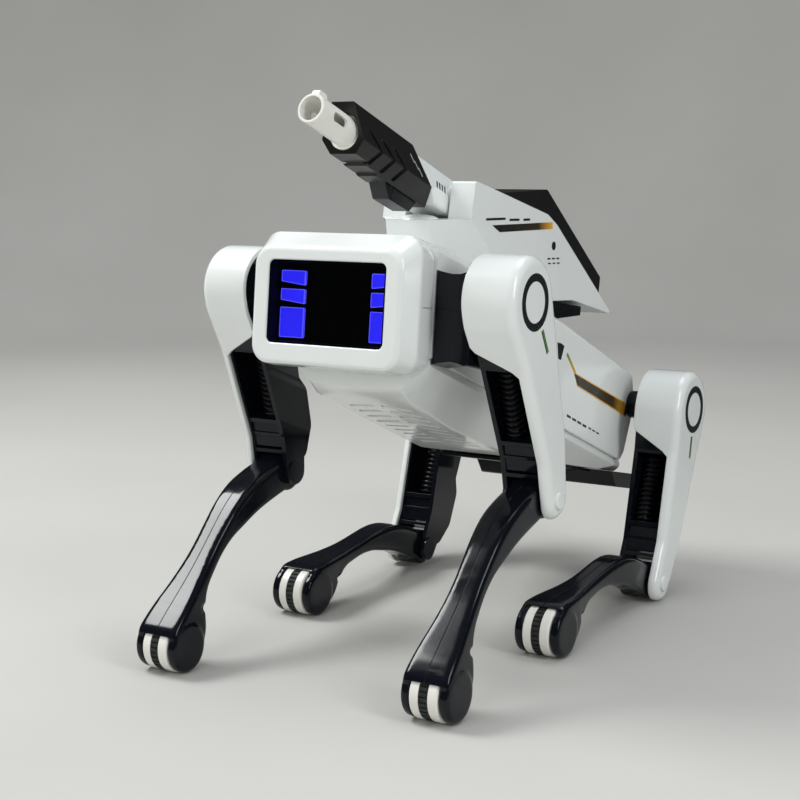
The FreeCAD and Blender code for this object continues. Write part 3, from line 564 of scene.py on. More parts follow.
def round_corners(bm, width, least):
    """Round the long corners of a faceted shape; lengths in the bmesh's own units."""
    corners = [e for e in bm.edges if len(e.link_faces) == 2 and e.calc_length() > least
               and e.calc_face_angle(0.0) > radians(CORNER_ANGLE)]
    bmesh.ops.bevel(bm, geom=corners, offset=width, segments=3, profile=0.5, affect="EDGES",
                    clamp_overlap=True)


def soften(node, width, least=5.0):
    """Weld the surface of a CAD piece and round its long corners."""
    bm = bmesh_of(NODES[node].data)
    bmesh.ops.remove_doubles(bm, verts=bm.verts, dist=WELD)
    bmesh.ops.dissolve_limit(bm, angle_limit=radians(FLAT_ANGLE), verts=bm.verts,
                             edges=bm.edges)
    round_corners(bm, width * MM, least * MM)
    stand_in(node, bm)


# ---- shanks

SHANK_LENGTH = (pivot("fl_wheel_spin") - pivot("fl_knee")).length / MM
BAY_RADIUS = 13.1
BAY_HALF_WIDTH = 7.7
ANKLE_DIMPLE = (-3.6, -93.0)
DIMPLE_DEPTHS = ((14.0, 2.4), (8.2, 2.1))
# (half-width, radius) of the round parts at both ends of the leg
KNEE_HUB = [(8.2, 8.8), (7.6, 9.8), (6.6, 10.2)]
WHEEL_HUB = [(12.2, 10.0), (11.9, 11.2), (11.2, 12.0), (7.0, 12.1)]
MERGE_VOXEL = 0.6
CARVE_VOXEL = 0.55
SMOOTHINGS = 7
SLICE_CORNER = 2.6
SHANK_SEAM = 0.12
# height below the knee, front edge, back edge and half-width of the leg
SHANK_STATIONS = (
    (9.4, -3.0, 3.0, 5.6),
    (7.0, -6.8, 6.8, 7.4),
    (2.0, -9.2, 9.0, 8.2),
    (-6.0, -11.8, 6.6, 8.3),
    (-15.0, -15.4, 2.6, 8.4),
    (-25.0, -18.5, -1.8, 8.6),
    (-34.0, -19.8, -4.9, 8.5),
    (-44.0, -19.8, -7.2, 8.2),
    (-54.0, -18.8, -9.2, 7.9),
    (-64.0, -17.5, -9.4, 7.8),
    (-74.0, -16.3, -8.3, 8.2),
    (-84.0, -15.5, -6.6, 9.1),
    (-92.0, -15.1, -1.8, 10.0),
    (-99.0, -14.9, 5.6, 10.9),
    (-106.0, -14.7, 9.4, 11.5),
    (-111.0, -14.4, 10.6, 11.8),
    (-115.5, -13.9, 10.6, 11.9),
    (-118.6, -12.6, 8.0, 11.6),
)


def flowing(stations, between=6):
    """A smooth run of in-between stations, as a Catmull-Rom curve passes through them."""
    out = []
    last = len(stations) - 1
    for i in range(last):
        a, b, c, d = (stations[k] for k in (max(i - 1, 0), i, i + 1, min(i + 2, last)))
        for step in range(between):
            t = step / between
            out.append(tuple(0.5 * (2 * q + (r - p) * t + (2 * p - 5 * q + 4 * r - v) * t * t
                                    + (3 * q - p - 3 * r + v) * t ** 3)
                             for p, q, r, v in zip(a, b, c, d)))
    return out + [stations[-1]]


def shank_ring(z, front, back, half):
    """A level slice of the leg: flat in front and at the sides, with rounded corners."""
    corner = min(SLICE_CORNER, half - 0.1, (back - front) / 2 - 0.1)
    return [(x, y, z) for x, y in rounded_rectangle(half, front, back, corner, 5)]


def shank_form():
    """The whole shank as one smooth moulding that hangs from the knee."""
    bm = bmesh.new()
    skin(bm, [shank_ring(*station) for station in flowing(SHANK_STATIONS)])
    lathe(bm, both_ways(KNEE_HUB), sides=72)
    lathe(bm, both_ways(WHEEL_HUB), 0, -SHANK_LENGTH, sides=72)
    bm = voxelled(carved(voxelled(bm, MERGE_VOXEL), shank_cutter()), CARVE_VOXEL)
    for _ in range(SMOOTHINGS):
        bmesh.ops.smooth_vert(bm, verts=bm.verts, factor=0.5, use_axis_x=True, use_axis_y=True,
                              use_axis_z=True)
    return closed_mesh(bm, "shank_smooth")


def shank_cutter():
    """The wheel bay and the two ankle dimples."""
    bm = bmesh.new()
    lathe(bm, both_ways([(BAY_HALF_WIDTH, BAY_RADIUS)]), 0, -SHANK_LENGTH, sides=96)
    for side in (-1, 1):
        lathe(bm, [(side * x, r) for x, r in DIMPLE_DEPTHS], *ANKLE_DIMPLE)
    return bm


def make_shanks():
    """Each leg's moulding, parted along its middle into an outer and an inner half."""
    whole = shank_form()
    for leg in LEGS:
        for side, kind in ((1.0, "outer"), (-1.0, "inner")):
            bm = bmesh_of(whole)
            trim(bm, (side * SHANK_SEAM, 0, 0), (side, 0, 0))
            stand_in(leg + "_shank_" + kind, bm, shank_place(leg), crease=40.0)


# ---- thighs

THIGH_LENGTH = (pivot("fl_knee") - pivot("fl_hip")).length / MM
HIP_RADIUS = 21.2
KNEE_RADIUS = 9.5
OUTER_X = 87.5
PLATE_X = 82.5
RIM_X = 60.8
SHELL_WALL = 2.4
EDGE_RADIUS = 4.4
HOOD_END = -18.4
HOOD_SLANT = 12.6
THIGH_MIDDLE = (0.5, -40.0)
# (height over the cover, radius) of the round cap over the knee
KNEE_CAP = ((-1.0, 4.4), (0.7, 4.35), (1.25, 4.0), (1.5, 3.3), (1.5, 1.2))


def thigh_outline():
    r, end, foot = HIP_RADIUS, KNEE_RADIUS, -THIGH_LENGTH - KNEE_RADIUS
    points = [(-r, r), (r, r), (16.6, -75.0), (end, foot), (-end, foot), (-7.5, -78.7),
              (-15.0, -28.6), (-r, -6.0)]
    radii = [r - 0.1, r * 0.95, 25.0, end - 0.3, end - 0.3, 12.0, 8.0, 15.0]
    return rounded_outline(points, radii)


def rim_depth(z):
    """How far in the hood reaches: all the way round the hip, then slanting out to the plate."""
    if z > HOOD_END:
        return RIM_X
    return min(PLATE_X - 0.4, RIM_X + (HOOD_END - z) * (PLATE_X - RIM_X) / HOOD_SLANT)


def make_thigh_cover(leg):
    outline = thigh_outline()
    normals = inward(outline)

    def ring(inset, x_of):
        flat = [p + n * inset for p, n in zip(outline, normals)]
        return [(x_of(q.y), q.x, q.y) for q in flat]

    rings = [
        ring(SHELL_WALL, lambda z: PLATE_X),
        ring(SHELL_WALL, lambda z: rim_depth(z) + 0.3),
        ring(SHELL_WALL - 0.4, rim_depth),
        ring(0.6, rim_depth),
        ring(0.15, lambda z: rim_depth(z) + 0.2),
        ring(0.0, lambda z: rim_depth(z) + 0.7),
    ]
    for inset, drop in fillet_profile(EDGE_RADIUS, 7):
        rings.append(ring(inset, lambda z, drop=drop: OUTER_X - drop))
    bm = bmesh.new()
    skin(bm, rings, hubs=[(x, *THIGH_MIDDLE) for x in (PLATE_X, OUTER_X)])
    lathe(bm, [(OUTER_X + rise, r) for rise, r in KNEE_CAP], 0, -THIGH_LENGTH)
    stand_in(leg + "_thigh_shell", bm, thigh_place(leg), leg + "_thigh_cover")


SPRING_X = 69.4
SPRING_ENDS = (-66.9, -30.1)
SPRING_RADIUS = 4.05
WIRE_RADIUS = 0.85
SPRING_PITCH = 2.75
COIL_INSET = 2.2
COIL_SIDES = 28
WIRE_SIDES = 10
# (distance from the end, radius) of the guide rod and the seat at each of its ends
ROD_END = ((0.0, 3.0), (1.0, 4.7), (1.8, 4.7), (2.0, 3.2))


def make_spring(leg):
    """A coiled spring on its guide rod, standing in the bay of the thigh frame."""
    low, high = SPRING_ENDS
    rod = [(low + d, r) for d, r in ROD_END] + [(high - d, r) for d, r in reversed(ROD_END)]
    bm = bmesh.new()
    skin(bm, [[(x, y, z) for x, y in circle(r, 32, SPRING_X)] for z, r in rod])
    start, end = low + COIL_INSET, high - COIL_INSET
    steps = round((end - start) / SPRING_PITCH * COIL_SIDES)
    coil = []
    for i in range(steps + 1):
        a = tau * i / COIL_SIDES
        z = start + (end - start) * i / steps
        coil.append([(SPRING_X + r * cos(a), r * sin(a), h)
                     for r, h in circle(WIRE_RADIUS, WIRE_SIDES, SPRING_RADIUS, z)])
    skin(bm, coil)
    stand_in(leg + "_thigh_spring", bm, thigh_place(leg), leg + "_thigh_coil")


# ---- head

FACE_WIDTH = 81.0
FACE_HEIGHT = 58.0
FACE_CORNER = 9.0
SCREEN_WIDTH = 64.6
SCREEN_HEIGHT = 38.8
SCREEN_CORNER = 3.0
BEZEL_DEPTH = 12.3
HEAD_DEPTH = 29.5
# how far the head's outline stands outside the nominal face, as (sides, top, bottom)
FACE_FRONT = (0.0, -3.6, 0.0)
FACE_RIDGE = (3.2, 4.0, 1.5)
HEAD_REAR = (0.4, 0.4, 0.4)
FACE_EDGE = 1.9
HEAD_EDGE = 3.0
SEAM = 0.25
# the groove along each side of the head, where its upper and lower halves meet
GROOVE_DEPTH = 0.2
GROOVE_START = 3.2
GROOVE_HEIGHTS = (0.35, 0.6)
# half-width, half-height, corner and depth of the window's tray, from the outside to the inside
LIGHT_BOX = ((33.4, 20.4, 1.5, 11.95), (33.4, 20.4, 1.5, 6.1), (31.3, 18.4, 1.5, 6.1),
             (31.3, 18.4, 1.5, 0.95), (32.26, 19.36, 2.9, 0.95), (32.26, 19.36, 2.9, 5.3),
             (34.4, 21.4, 2.0, 5.3), (34.4, 21.4, 2.0, 11.95))


def rectangle_ring(half_x, low_z, high_z, corner, y):
    """A rounded rectangle facing along the dog."""
    return [(x, y, z) for x, z in rounded_rectangle(half_x, low_z, high_z, corner, 9)]


def face_ring(reach, inset, y):
    """The head's outline at one depth, pushed out by reach and drawn in by inset."""
    sides, top, bottom = (value - inset for value in reach)
    corner = max(1.2, FACE_CORNER - inset)
    return rectangle_ring(FACE_WIDTH / 2 + sides, -FACE_HEIGHT / 2 - bottom,
                          FACE_HEIGHT / 2 + top, corner, y)


def between(first, last, share):
    """A blend of two lists of numbers."""
    return tuple(a + (b - a) * share for a, b in zip(first, last))


def screen_ring(grow, y):
    half = SCREEN_HEIGHT / 2 + grow
    return rectangle_ring(SCREEN_WIDTH / 2 + grow, -half, half, SCREEN_CORNER + grow, y)


def make_bezel():
    """The face frame: a flat front with a softened edge, and flanks that flare back to a ridge."""
    def flank(y):
        return between(FACE_FRONT, FACE_RIDGE, y / BEZEL_DEPTH)

    rings = [screen_ring(0.0, 3.2), screen_ring(0.0, 0.8), screen_ring(0.12, 0.3),
             screen_ring(0.5, 0.02)]
    rings += [face_ring(flank(drop), inset, drop)
              for inset, drop in reversed(fillet_profile(FACE_EDGE, 8))]
    rings += [face_ring(flank(6.0), 0.0, 6.0), face_ring(flank(11.4), 0.0, 11.4),
              face_ring(FACE_RIDGE, 0.05, 11.9), face_ring(FACE_RIDGE, 0.45, BEZEL_DEPTH),
              face_ring(FACE_RIDGE, SHELL_WALL, BEZEL_DEPTH), face_ring(FACE_FRONT, 1.4, 3.2)]
    bm = bmesh.new()
    skin(bm, rings, loop=True)
    stand_in("face_bezel", bm, FACE_PLACE)


def make_head_shell():
    """The cover behind the face frame; it narrows from the ridge to its rounded rear."""
    start = BEZEL_DEPTH + SEAM

    def flank(y):
        return between(FACE_RIDGE, HEAD_REAR, (y - start) / (HEAD_DEPTH - start))

    rings = [face_ring(HEAD_REAR, SHELL_WALL, HEAD_DEPTH - SHELL_WALL),
             face_ring(FACE_RIDGE, SHELL_WALL, start), face_ring(FACE_RIDGE, 0.45, start),
             face_ring(FACE_RIDGE, 0.05, start + 0.4),
             face_ring(flank(start + 1.2), 0.0, start + 1.2), face_ring(flank(20.0), 0.0, 20.0)]
    rings += [face_ring(flank(HEAD_DEPTH - drop), inset, HEAD_DEPTH - drop)
              for inset, drop in fillet_profile(HEAD_EDGE, 6)]
    rings += [face_ring(HEAD_REAR, HEAD_EDGE + 6.0, HEAD_DEPTH)]
    shell, cutter = bmesh.new(), bmesh.new()
    skin(shell, rings)
    low, high = GROOVE_HEIGHTS
    for side in (-1, 1):
        inner, outer = sorted((side * (FACE_WIDTH / 2 - GROOVE_DEPTH), side * 50.0))
        block(cutter, (inner, start + GROOVE_START, low), (outer, 40.0, high))
    stand_in("head_shell", carved(shell, cutter), FACE_PLACE)


def make_light_box():
    """The black tray behind the window, whose lip masks the edge of the window."""
    bm = bmesh.new()
    skin(bm, [rectangle_ring(half_x, -half_z, half_z, corner, y)
              for half_x, half_z, corner, y in LIGHT_BOX])
    add_beside("display_board", "light_box", bm, FACE_PLACE, DISPLAY_DARK)


# ---- trunk

TRUNK_CORE_X = 36.0
REAR_HIP = (210.0, -30.9)
# each station: y, half-width and height of the top, the ridge and the sill
BACK_STATIONS = (
    (-20.0, 29.0, 26.0, 41.5, 21.8, -27.0),
    (34.0, 29.0, 25.5, 42.5, 15.2, -36.0),
    (118.0, 26.0, 15.0, 46.0, 3.4, -49.0),
    (205.0, 25.0, -0.5, 49.5, -14.0, -64.0),
    (218.0, 24.0, -3.0, 48.9, -17.0, -61.0),
    (239.0, 20.0, -16.0, 35.0, -23.0, -52.0),
)
# slots across the sloping tail: first place along the trunk, pitch, width, half length, depth
TAIL_SLOTS = 3
TAIL_SLOT_START = 222.5
TAIL_SLOT_PITCH = 4.6
TAIL_SLOT_WIDTH = 1.7
TAIL_SLOT_HALF = 11.0
TAIL_SLOT_DEPTH = 1.1
PANEL_END = ((205.0, 10.0), (206.5, -14.2), (214.4, -31.2), (205.8, -58.4), (200.6, -64.3),
             (198.0, -80.0))
# each station: y, half-width and height of the sill, half-width and height of the bottom
BELLY_STATIONS = (
    (-14.0, 40.0, -28.4, 24.0, -40.0),
    (2.0, 40.6, -31.6, 26.0, -49.5),
    (50.0, 42.0, -39.6, 24.0, -59.6),
    (112.0, 44.6, -49.4, 30.0, -69.0),
    (199.0, 47.6, -64.4, 38.0, -70.0),
    (203.0, TRUNK_CORE_X, -64.4, 35.0, -70.0),
    (233.0, TRUNK_CORE_X, -64.4, 33.0, -70.0),
)
# slanted vents through the bottom: first place along the trunk, pitch, slant, reach, width
VENT_COUNT = 9
VENT_START = 14.0
VENT_PITCH = 9.0
VENT_SLANT = 14.0
VENT_REACH = (3.0, 19.0)
VENT_WIDTH = 3.0
SECTION_STEPS = 5


def section(half, radii, y):
    """A rounded cross-section of the trunk from the corners of its left half."""
    corners = half + [(-x, z) for x, z in reversed(half)]
    reach = list(radii) + list(reversed(radii))
    ring = []
    for i, corner in enumerate(corners):
        after = corners[(i + 1) % len(corners)]
        arc = corner_arc(corners[i - 1], corner, after, reach[i], SECTION_STEPS)
        ring.extend((p.x, y, p.y) for p in arc)
    return ring


def behind_head(bm):
    """Trim a shape drawn in the trunk's frame where it would run into the head."""
    to_trunk = TRUNK_PLACE.inverted() @ FACE_PLACE
    point = to_trunk @ Vector((0, (HEAD_DEPTH + SEAM) * MM, 0)) / MM
    trim(bm, point, to_trunk.to_3x3() @ Vector((0, 1, 0)))


def make_back():
    """The trunk's upper cover, with its cut-away rear sides and the slots across its tail."""
    body, cutter = bmesh.new(), bmesh.new()
    skin(body, [section([(top_x, top_z), (ridge_x, ridge_z), (ridge_x, sill_z)],
                        (4.0, 2.6, 0.5), y)
                for y, top_x, top_z, ridge_x, ridge_z, sill_z in BACK_STATIONS])
    outline = list(PANEL_END) + [(270.0, -80.0), (270.0, 10.0)]
    for side in (-1, 1):
        skin(cutter, [[(side * x, y, z) for y, z in outline] for x in (TRUNK_CORE_X, 90.0)])
    (start, _, high, *_), (end, _, low, *_) = BACK_STATIONS[-2:]
    for i in range(TAIL_SLOTS):
        y = TAIL_SLOT_START + i * TAIL_SLOT_PITCH
        floor = high + (low - high) * (y - start) / (end - start) - TAIL_SLOT_DEPTH
        block(cutter, (-TAIL_SLOT_HALF, y, floor),
              (TAIL_SLOT_HALF, y + TAIL_SLOT_WIDTH, floor + 8.0))
    bm = carved(body, cutter)
    behind_head(bm)
    stand_in("back_shell", bm, TRUNK_PLACE)


def make_belly():
    """The trunk's lower cover, with two rows of slanted vents."""
    body, cutter = bmesh.new(), bmesh.new()
    skin(body, [section([(sill_x - 2.0, sill_z + 4.0), (sill_x, sill_z - 0.6),
                         (sill_x, sill_z - 2.6), (low_x, low_z)], (0.3, 0.5, 0.6, 2.6), y)
                for y, sill_x, sill_z, low_x, low_z in BELLY_STATIONS])
    sine, cosine = sin(radians(VENT_SLANT)), cos(radians(VENT_SLANT))
    near, far = VENT_REACH
    corners = ((near, 0.0), (far, 0.0), (far, VENT_WIDTH), (near, VENT_WIDTH))
    for i in range(VENT_COUNT):
        y = VENT_START + i * VENT_PITCH
        for side in (-1, 1):
            outline = [(side * (x * cosine - v * sine), y + x * sine + v * cosine)
                       for x, v in corners]
            skin(cutter, [[(x, v, z) for x, v in outline] for z in (-85.0, -52.0)])
    bm = carved(body, cutter)
    behind_head(bm)
    stand_in("belly_shell", bm, TRUNK_PLACE)


FRONT_COVER = ((-17.0, 11.5), (20.0, 11.5), (25.0, -8.0), (17.0, -32.0), (-13.0, -32.0),
               (-19.0, -12.0))
FRONT_COVER_RADII = (6.0, 6.0, 9.0, 9.0, 9.0, 9.0)
# how far in the cover's outline is drawn at each distance from the middle plane
COVER_WAIST = ((41.0, 0.0), (45.0, 0.9), (50.0, 1.7), (54.0, 1.5), (57.4, 0.5), (58.6, 0.5),
               (59.6, 0.9), (60.15, 1.6), (60.3, 2.6))
# (distance from the middle plane, radius) of the rear cones
REAR_CONE = ((36.2, 7.4), (52.0, 7.8), (57.0, 8.6), (59.6, 9.2), (60.2, 8.8))


def make_hip_covers():
    """Glossy gearbox covers: waisted blocks in front, small cones behind."""
    bm = bmesh.new()
    outline = rounded_outline(FRONT_COVER, FRONT_COVER_RADII)
    normals = inward(outline)
    for side in (-1, 1):
        skin(bm, [[(side * x, q.x, q.y) for q in (p + n * inset for p, n in zip(outline, normals))]
                  for x, inset in COVER_WAIST])
    behind_head(bm)
    for side in (-1, 1):
        lathe(bm, [(side * x, r) for x, r in REAR_CONE], *REAR_HIP)
    stand_in("hip_housings", bm, TRUNK_PLACE, material=FINISH["black_gloss"])


# ---- decals

BLACK_INK = (0.012, 0.014, 0.013)
GREEN_INK = (0.10, 0.26, 0.05)
ORANGE_INK = (0.80, 0.40, 0.04)
GREY_INK = (0.32, 0.33, 0.33)
INK_LIFT = 0.07
INK_SINK = 0.03


def decal(name, outlines, x, place, body, ink_of, side=1):
    """Thin printed shapes on a side face; outlines are lists of (y, z), ink_of takes (y, z)."""
    bm = bmesh.new()
    x_of = x if callable(x) else (lambda y, z: x)
    for outline in outlines:
        skin(bm, [[(side * (x_of(y, z) + lift), y, z) for y, z in outline]
                  for lift in (-INK_SINK, INK_LIFT)])
    mesh = mesh_from(bm, name, place)
    back = (place @ Matrix.Scale(MM, 4)).inverted()
    layer = mesh.color_attributes.new("ink", "FLOAT_COLOR", "CORNER")
    for loop in mesh.loops:
        _, y, z = back @ mesh.vertices[loop.vertex_index].co
        layer.data[loop.index].color = colour(*ink_of(y, z))
    return add_piece(name, mesh, INK, body)


def strip(points, width):
    """A band of even width along a flat path."""
    path = [Vector(p) for p in points]
    left, right = [], []
    for i, p in enumerate(path):
        ahead = (path[min(i + 1, len(path) - 1)] - path[max(i - 1, 0)]).normalized()
        side = Vector((-ahead.y, ahead.x)) * (width / 2)
        left.append(tuple(p + side))
        right.append(tuple(p - side))
    return left + right[::-1]


def dashes(count, start, end, step, width):
    """A row of equal bars; each stands one step on from the last."""
    return [strip([(y + step[0] * i, z + step[1] * i) for y, z in (start, end)], width)
            for i in range(count)]


def annulus(radius_in, radius_out, sides=72):
    """A ring as two half bands, so that each band is one simple outline."""
    bands = []
    for half in (0, 1):
        turns = [pi * (half + i / (sides // 2)) for i in range(sides // 2 + 1)]
        outer = [(radius_out * cos(a), radius_out * sin(a)) for a in turns]
        inner = [(radius_in * cos(a), radius_in * sin(a)) for a in reversed(turns)]
        bands.append(outer + inner)
    return bands


def flank_x(y, _z):
    """Half-width of the trunk's side panel."""
    for (y0, *_, x0, _, _), (y1, *_, x1, _, _) in zip(BACK_STATIONS, BACK_STATIONS[1:]):
        if y0 <= y <= y1:
            return x0 + (x1 - x0) * (y - y0) / (y1 - y0)
    return BACK_STATIONS[0][3]


def raised(x_of, layers):
    """The face for ink that is printed over other layers of ink."""
    return lambda y, z: x_of(y, z) + layers * INK_LIFT


def both_flanks(name, outlines, x_of, place, body, ink_of):
    """The same print on the left and the right side."""
    for side, tag in ((1, "left"), (-1, "right")):
        decal(name + "_" + tag, outlines, x_of, place, body, ink_of, side)


def plain(ink):
    return lambda y, z: ink


def fade(start, end, first=BLACK_INK, last=ORANGE_INK):
    """Ink that turns from one colour to another along the dog."""
    return lambda y, z: between(first, last, min(1.0, max(0.0, (y - start) / (end - start))))


def in_halves(bar):
    """A bent bar of six corners, as two convex outlines."""
    return [bar[:3] + bar[5:], bar[2:]]


TRUNK_MARK = [(112.5, -7.0), (116.6, -7.0), (120.7, -7.9), (118.6, -15.6), (115.5, -15.4)]
TRUNK_LEAD = [(124.6, -11.6), (130.0, -15.8), (136.5, -20.8)]
TRUNK_BAR = [(135.0, -21.1), (140.0, -26.8), (185.0, -34.8), (203.5, -38.1), (205.0, -32.0),
             (185.0, -28.9)]
TRUNK_BAR_END = [(201.6, -31.8), (205.0, -32.3), (203.6, -38.1), (200.4, -37.4)]
TRUNK_DASHES = (dashes(4, (132.0, -43.9), (136.6, -44.7), (6.4, -1.15), 1.3)
                + dashes(3, (158.6, -48.4), (162.0, -49.0), (5.0, -0.9), 0.8))


def grown(outline, by):
    """A convex outline pushed outwards."""
    points = [Vector(p) for p in outline]
    return [tuple(p - n * by) for p, n in zip(points, inward(points))]


def make_trunk_prints():
    """The prints on the trunk's side panels, the later ones over the earlier ones."""
    for name, outlines, x_of, ink_of in (
            ("mark", [TRUNK_MARK], flank_x, plain(BLACK_INK)),
            ("lead", [strip(TRUNK_LEAD, 1.9)], flank_x, fade(125.0, 136.0, GREEN_INK)),
            ("edge", [grown(TRUNK_BAR, 0.7)], flank_x, plain(ORANGE_INK)),
            ("bar", in_halves(TRUNK_BAR), raised(flank_x, 1), fade(184.0, 203.0)),
            ("tip", [TRUNK_BAR_END], raised(flank_x, 2), plain(BLACK_INK)),
            ("dashes", TRUNK_DASHES, flank_x, plain(BLACK_INK))):
        both_flanks("print_trunk_" + name, outlines, x_of, TRUNK_PLACE, body_of("back_shell"),
                    ink_of)


LAUNCHER_X = 26.0
TOP_DASHES = [strip(ends, 1.2) for ends in (((66.1, 212.3), (87.0, 211.8)),
                                            ((91.4, 211.0), (102.5, 210.6)),
                                            ((107.0, 210.4), (114.5, 210.2)))]
LAUNCHER_BAR = [(72.5, 209.1), (80.7, 205.2), (124.6, 204.3), (141.5, 204.0), (141.3, 207.6),
                (124.6, 208.0)]
SIDE_DOT = (143.0, 194.7)
SIDE_DOT_RADIUS = 2.4
SIDE_DASHES = (dashes(3, (135.5, 188.2), (139.0, 188.0), (5.4, -0.25), 0.9)
               + dashes(3, (136.5, 185.6), (139.4, 185.4), (5.4, -0.25), 0.8))
# short slanted bars in barrel coordinates: on the white housing, and near the sleeve's rear edge
BARREL_TICKS = dashes(4, (103.4, -1.3), (104.6, 2.5), (2.7, 0.0), 1.3)
SLEEVE_TICKS = dashes(3, (76.6, 6.4), (79.8, 3.0), (3.6, -2.3), 0.9)


def sloping_x(mid_x, top_x, top_z, mid_z=-3.8):
    """How far out the upper flank of a barrel part lies at a height."""
    return lambda y, z: mid_x + (top_x - mid_x) * max(0.0, z - mid_z) / (top_z - mid_z)


def make_launcher_prints():
    """The prints on the launcher's sides and on the barrel's sloping flanks."""
    side_marks = [circle(SIDE_DOT_RADIUS, 40, *SIDE_DOT)] + SIDE_DASHES
    for name, outlines, ink_of in (("top_dashes", TOP_DASHES, plain(BLACK_INK)),
                                   ("launcher_bar", in_halves(LAUNCHER_BAR), fade(124.0, 141.0)),
                                   ("side_dot", side_marks, plain(BLACK_INK))):
        both_flanks("print_" + name, outlines, LAUNCHER_X, LEVEL_PLACE, body_of("launcher_shell"),
                    ink_of)
    for name, ticks, x_of, ink in (
            ("barrel_ticks", BARREL_TICKS, sloping_x(11.1, 5.5, 9.7), BLACK_INK),
            ("sleeve_ticks", SLEEVE_TICKS, sloping_x(11.6, 6.0, 12.4), GREY_INK)):
        both_flanks("print_" + name, ticks, x_of, BARREL_PLACE, body_of("barrel_shroud"),
                    plain(ink))


NOSE_MOUND = (0.0, 43.5, 212.6)
NOSE_MOUND_REACH = (10.8, 9.0, 2.9)


def make_nose_mound():
    """The low rounded boss on the launcher's nose, under the barrel."""
    cx, cy, cz = NOSE_MOUND
    rx, ry, rz = NOSE_MOUND_REACH
    rings = []
    for share in (0.0, 0.12, 0.25, 0.4, 0.55, 0.7, 0.85, 0.95):
        spread, lift = cos(share * pi / 2), sin(share * pi / 2)
        rings.append([(cx + rx * u, cy + ry * v, cz + rz * lift) for u, v in circle(spread, 48)])
    bm = bmesh.new()
    skin(bm, rings)
    add_beside("launcher_shell", "nose_mound", bm, LEVEL_PLACE)


BAY_X = (63.9, 81.3)
BAY_WALL = ((8.0, -29.0), (9.4, -29.0), (9.4, -84.0), (-4.5, -84.0), (-4.5, -70.3),
            (8.0, -69.0))


def make_bay_wall(leg):
    """The rear wall of the spring's bay with the solid foot under the spring."""
    bm = bmesh.new()
    skin(bm, [[(x, y, z) for y, z in BAY_WALL] for x in BAY_X])
    bm = bmesh_of(closed_mesh(bm, "bay_wall"))
    round_corners(bm, 0.35, 3.0)
    add_beside(leg + "_thigh_frame", leg + "_bay_wall", bm, thigh_place(leg), FINISH["black_gloss"])


# the white barrel housing: the sleeve's rear edge as (s, h), and the half section as (x, h)
SLEEVE_END = ((79.4, 14.0), (95.9, -3.5), (102.9, -12.0))
CHEEK_SECTION = ((5.5, 9.7), (11.1, -3.8), (11.1, -9.6), (10.1, -10.7))
CHEEK_REAR = 123.5


def sleeve_end(h):
    """Where the sleeve ends at a height over the barrel's axis."""
    (s0, h0), (s1, h1), (s2, h2) = SLEEVE_END
    if h > h1:
        return s0 + (s1 - s0) * (h0 - h) / (h0 - h1)
    return s1 + (s2 - s1) * (h1 - h) / (h1 - h2)


def make_barrel_cheeks():
    """The flat-sided white cover behind the sleeve."""
    outline = list(CHEEK_SECTION) + [(-x, h) for x, h in reversed(CHEEK_SECTION)]
    bm = bmesh.new()
    skin(bm, [[(x, s_of(h), h) for x, h in outline] for s_of in (sleeve_end, lambda h: CHEEK_REAR)])
    bm = bmesh_of(closed_mesh(bm, "barrel_cheeks"))
    round_corners(bm, 0.5, 3.0)
    add_beside("barrel_housing", "barrel_cheeks", bm, BARREL_PLACE)


THIGH_RING = (9.5, 13.2)
THIGH_TAIL = ((3.4, -14.8), (6.0, -26.8))


def make_thigh_prints(leg):
    """The dark ring round the hip and its short tail."""
    for name, outlines, x, ink in (
            ("ring", annulus(*THIGH_RING), OUTER_X, BLACK_INK),
            ("tail", [strip(THIGH_TAIL, 2.3)], OUTER_X, BLACK_INK),
            ("tail_core", [strip(THIGH_TAIL, 1.0)], OUTER_X + INK_LIFT, GREEN_INK)):
        decal(leg + "_print_" + name, outlines, x, thigh_place(leg), body_of(leg + "_thigh_shell"),
              plain(ink))


# ---- stage

# metres, but for the camera's roll in degrees and its lens in millimetres
LIT_POINT = (0.0, 0.0, 0.12)
CAMERA_PLACE = (0.4146, -0.7206, 0.2498)
CAMERA_AIM = (-0.0494, 0.0312, 0.1093)
CAMERA_ROLL = -0.38
CAMERA_LENS = 72.34
FLOOR_RADIUS = 1.25
SWEEP_RADIUS = 0.55
SWEEP_STEPS = 12
WALL_HEIGHT = 1.5


def make_stage():
    """A round floor that sweeps up into a wall, so that there is no horizon; in metres."""
    profile = [(0.02, 0.0), (0.3, 0.0), (FLOOR_RADIUS, 0.0)]
    for i in range(1, SWEEP_STEPS + 1):
        a = pi / 2 * i / SWEEP_STEPS
        profile.append((FLOOR_RADIUS + SWEEP_RADIUS * sin(a),
                        SWEEP_RADIUS * (1 - cos(a))))
    profile.append((FLOOR_RADIUS + SWEEP_RADIUS, WALL_HEIGHT))
    bm = bmesh.new()
    rows = skin(bm, [[(x, y, z) for x, y in circle(r, 96)] for r, z in profile], closed=False)
    bm.faces.new(rows[0])
    bmesh.ops.recalc_face_normals(bm, faces=bm.faces)
    if bm.faces[-1].normal.z < 0:
        bmesh.ops.reverse_faces(bm, faces=bm.faces)
    mesh = bpy.data.meshes.new("floor")
    bm.to_mesh(mesh)
    bm.free()
    mesh.shade_smooth()
    mesh.materials.append(floor_card_with_painted_reflection("floor_card_with_painted_reflection"))
    floor = bpy.data.objects.new("floor", mesh)
    bpy.context.scene.collection.objects.link(floor)


def looking(place, aim):
    """Stand at a place and look at another."""
    way = (Vector(aim) - Vector(place)).to_track_quat("-Z", "Y")
    return Matrix.Translation(place) @ way.to_matrix().to_4x4()


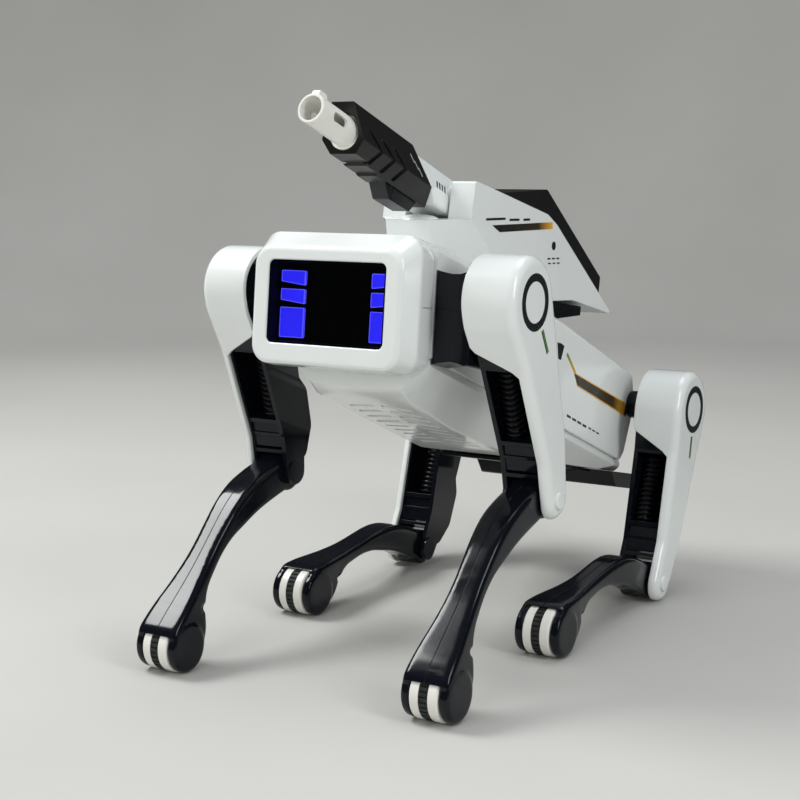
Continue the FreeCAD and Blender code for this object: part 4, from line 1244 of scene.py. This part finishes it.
def area_light(name, place, size, power, tint=(1.0, 1.0, 1.0), in_mirrors=True):
    light = bpy.data.lights.new(name, "AREA")
    light.shape = "RECTANGLE"
    light.size, light.size_y = size
    light.energy = power
    light.color = tint
    lamp = bpy.data.objects.new(name, light)
    lamp.visible_glossy = in_mirrors
    bpy.context.scene.collection.objects.link(lamp)
    lamp.matrix_world = looking(place, LIT_POINT)


def make_lights():
    world = bpy.data.worlds.new("studio")
    world.use_nodes = True
    tree = world.node_tree
    background = tree.nodes["Background"]
    background.inputs["Color"].default_value = colour(0.90, 0.95, 1.0)
    glossy = tree.nodes.new("ShaderNodeLightPath").outputs["Is Glossy Ray"]
    strength = tree.nodes.new("ShaderNodeMapRange")
    strength.inputs["To Min"].default_value = WORLD_STRENGTH
    strength.inputs["To Max"].default_value = WORLD_IN_MIRRORS
    tree.links.new(glossy, strength.inputs["Value"])
    tree.links.new(strength.outputs["Result"], background.inputs["Strength"])
    bpy.context.scene.world = world
    bpy.context.scene.view_settings.view_transform = "Standard"
    area_light("key", (-0.80, -0.22, 1.05), (0.5, 0.42), 11.5, (0.97, 1.0, 0.99))
    area_light("window", (0.90, -0.30, 0.62), (0.22, 0.7), 4.0, (0.94, 0.98, 1.0))
    area_light("top", (0.1, 0.35, 1.30), (0.9, 0.5), 4.0)
    area_light("front", (-0.15, -1.05, 0.50), (0.8, 0.6), 3.3, in_mirrors=False)


def make_camera():
    camera = bpy.data.objects.new("camera", bpy.data.cameras.new("camera"))
    bpy.context.scene.collection.objects.link(camera)
    roll = Matrix.Rotation(radians(CAMERA_ROLL), 4, "Z")
    camera.matrix_world = looking(CAMERA_PLACE, CAMERA_AIM) @ roll
    camera.data.lens = CAMERA_LENS
    camera.data.sensor_width = 36.0
    bpy.context.scene.camera = camera


# ---- assemble

def dress_nodes():
    """Give each CAD node its slot's finish, but dark lacquer to the display board and gloss to
    thigh frames.
    """
    for node, piece in NODES.items():
        material = FINISH[SLOTS[node]]
        if node == "display_board":
            material = DISPLAY_DARK
        elif node.endswith("_thigh_frame"):
            material = FINISH["black_gloss"]
        piece.data.materials.clear()
        piece.data.materials.append(material)


# CAD pieces that only need their long corners rounded, with the width of the rounding
SOFT_CORNERS = {
    "launcher_shell": 1.3, "hopper_cover": 0.8, "barrel_shroud": 0.4, "barrel_housing": 0.6,
    "underbarrel_block": 0.4, "launcher_bracket": 0.6, "chassis_tray": 0.6,
}

dress_nodes()
make_bezel()
make_head_shell()
make_light_box()
make_back()
make_belly()
make_hip_covers()
make_shanks()
for leg in LEGS:
    make_thigh_cover(leg)
    make_spring(leg)
    make_bay_wall(leg)
    make_thigh_prints(leg)
for node, width in SOFT_CORNERS.items():
    soften(node, width)
make_trunk_prints()
make_launcher_prints()
make_nose_mound()
make_barrel_cheeks()
make_stage()
make_lights()
make_camera()
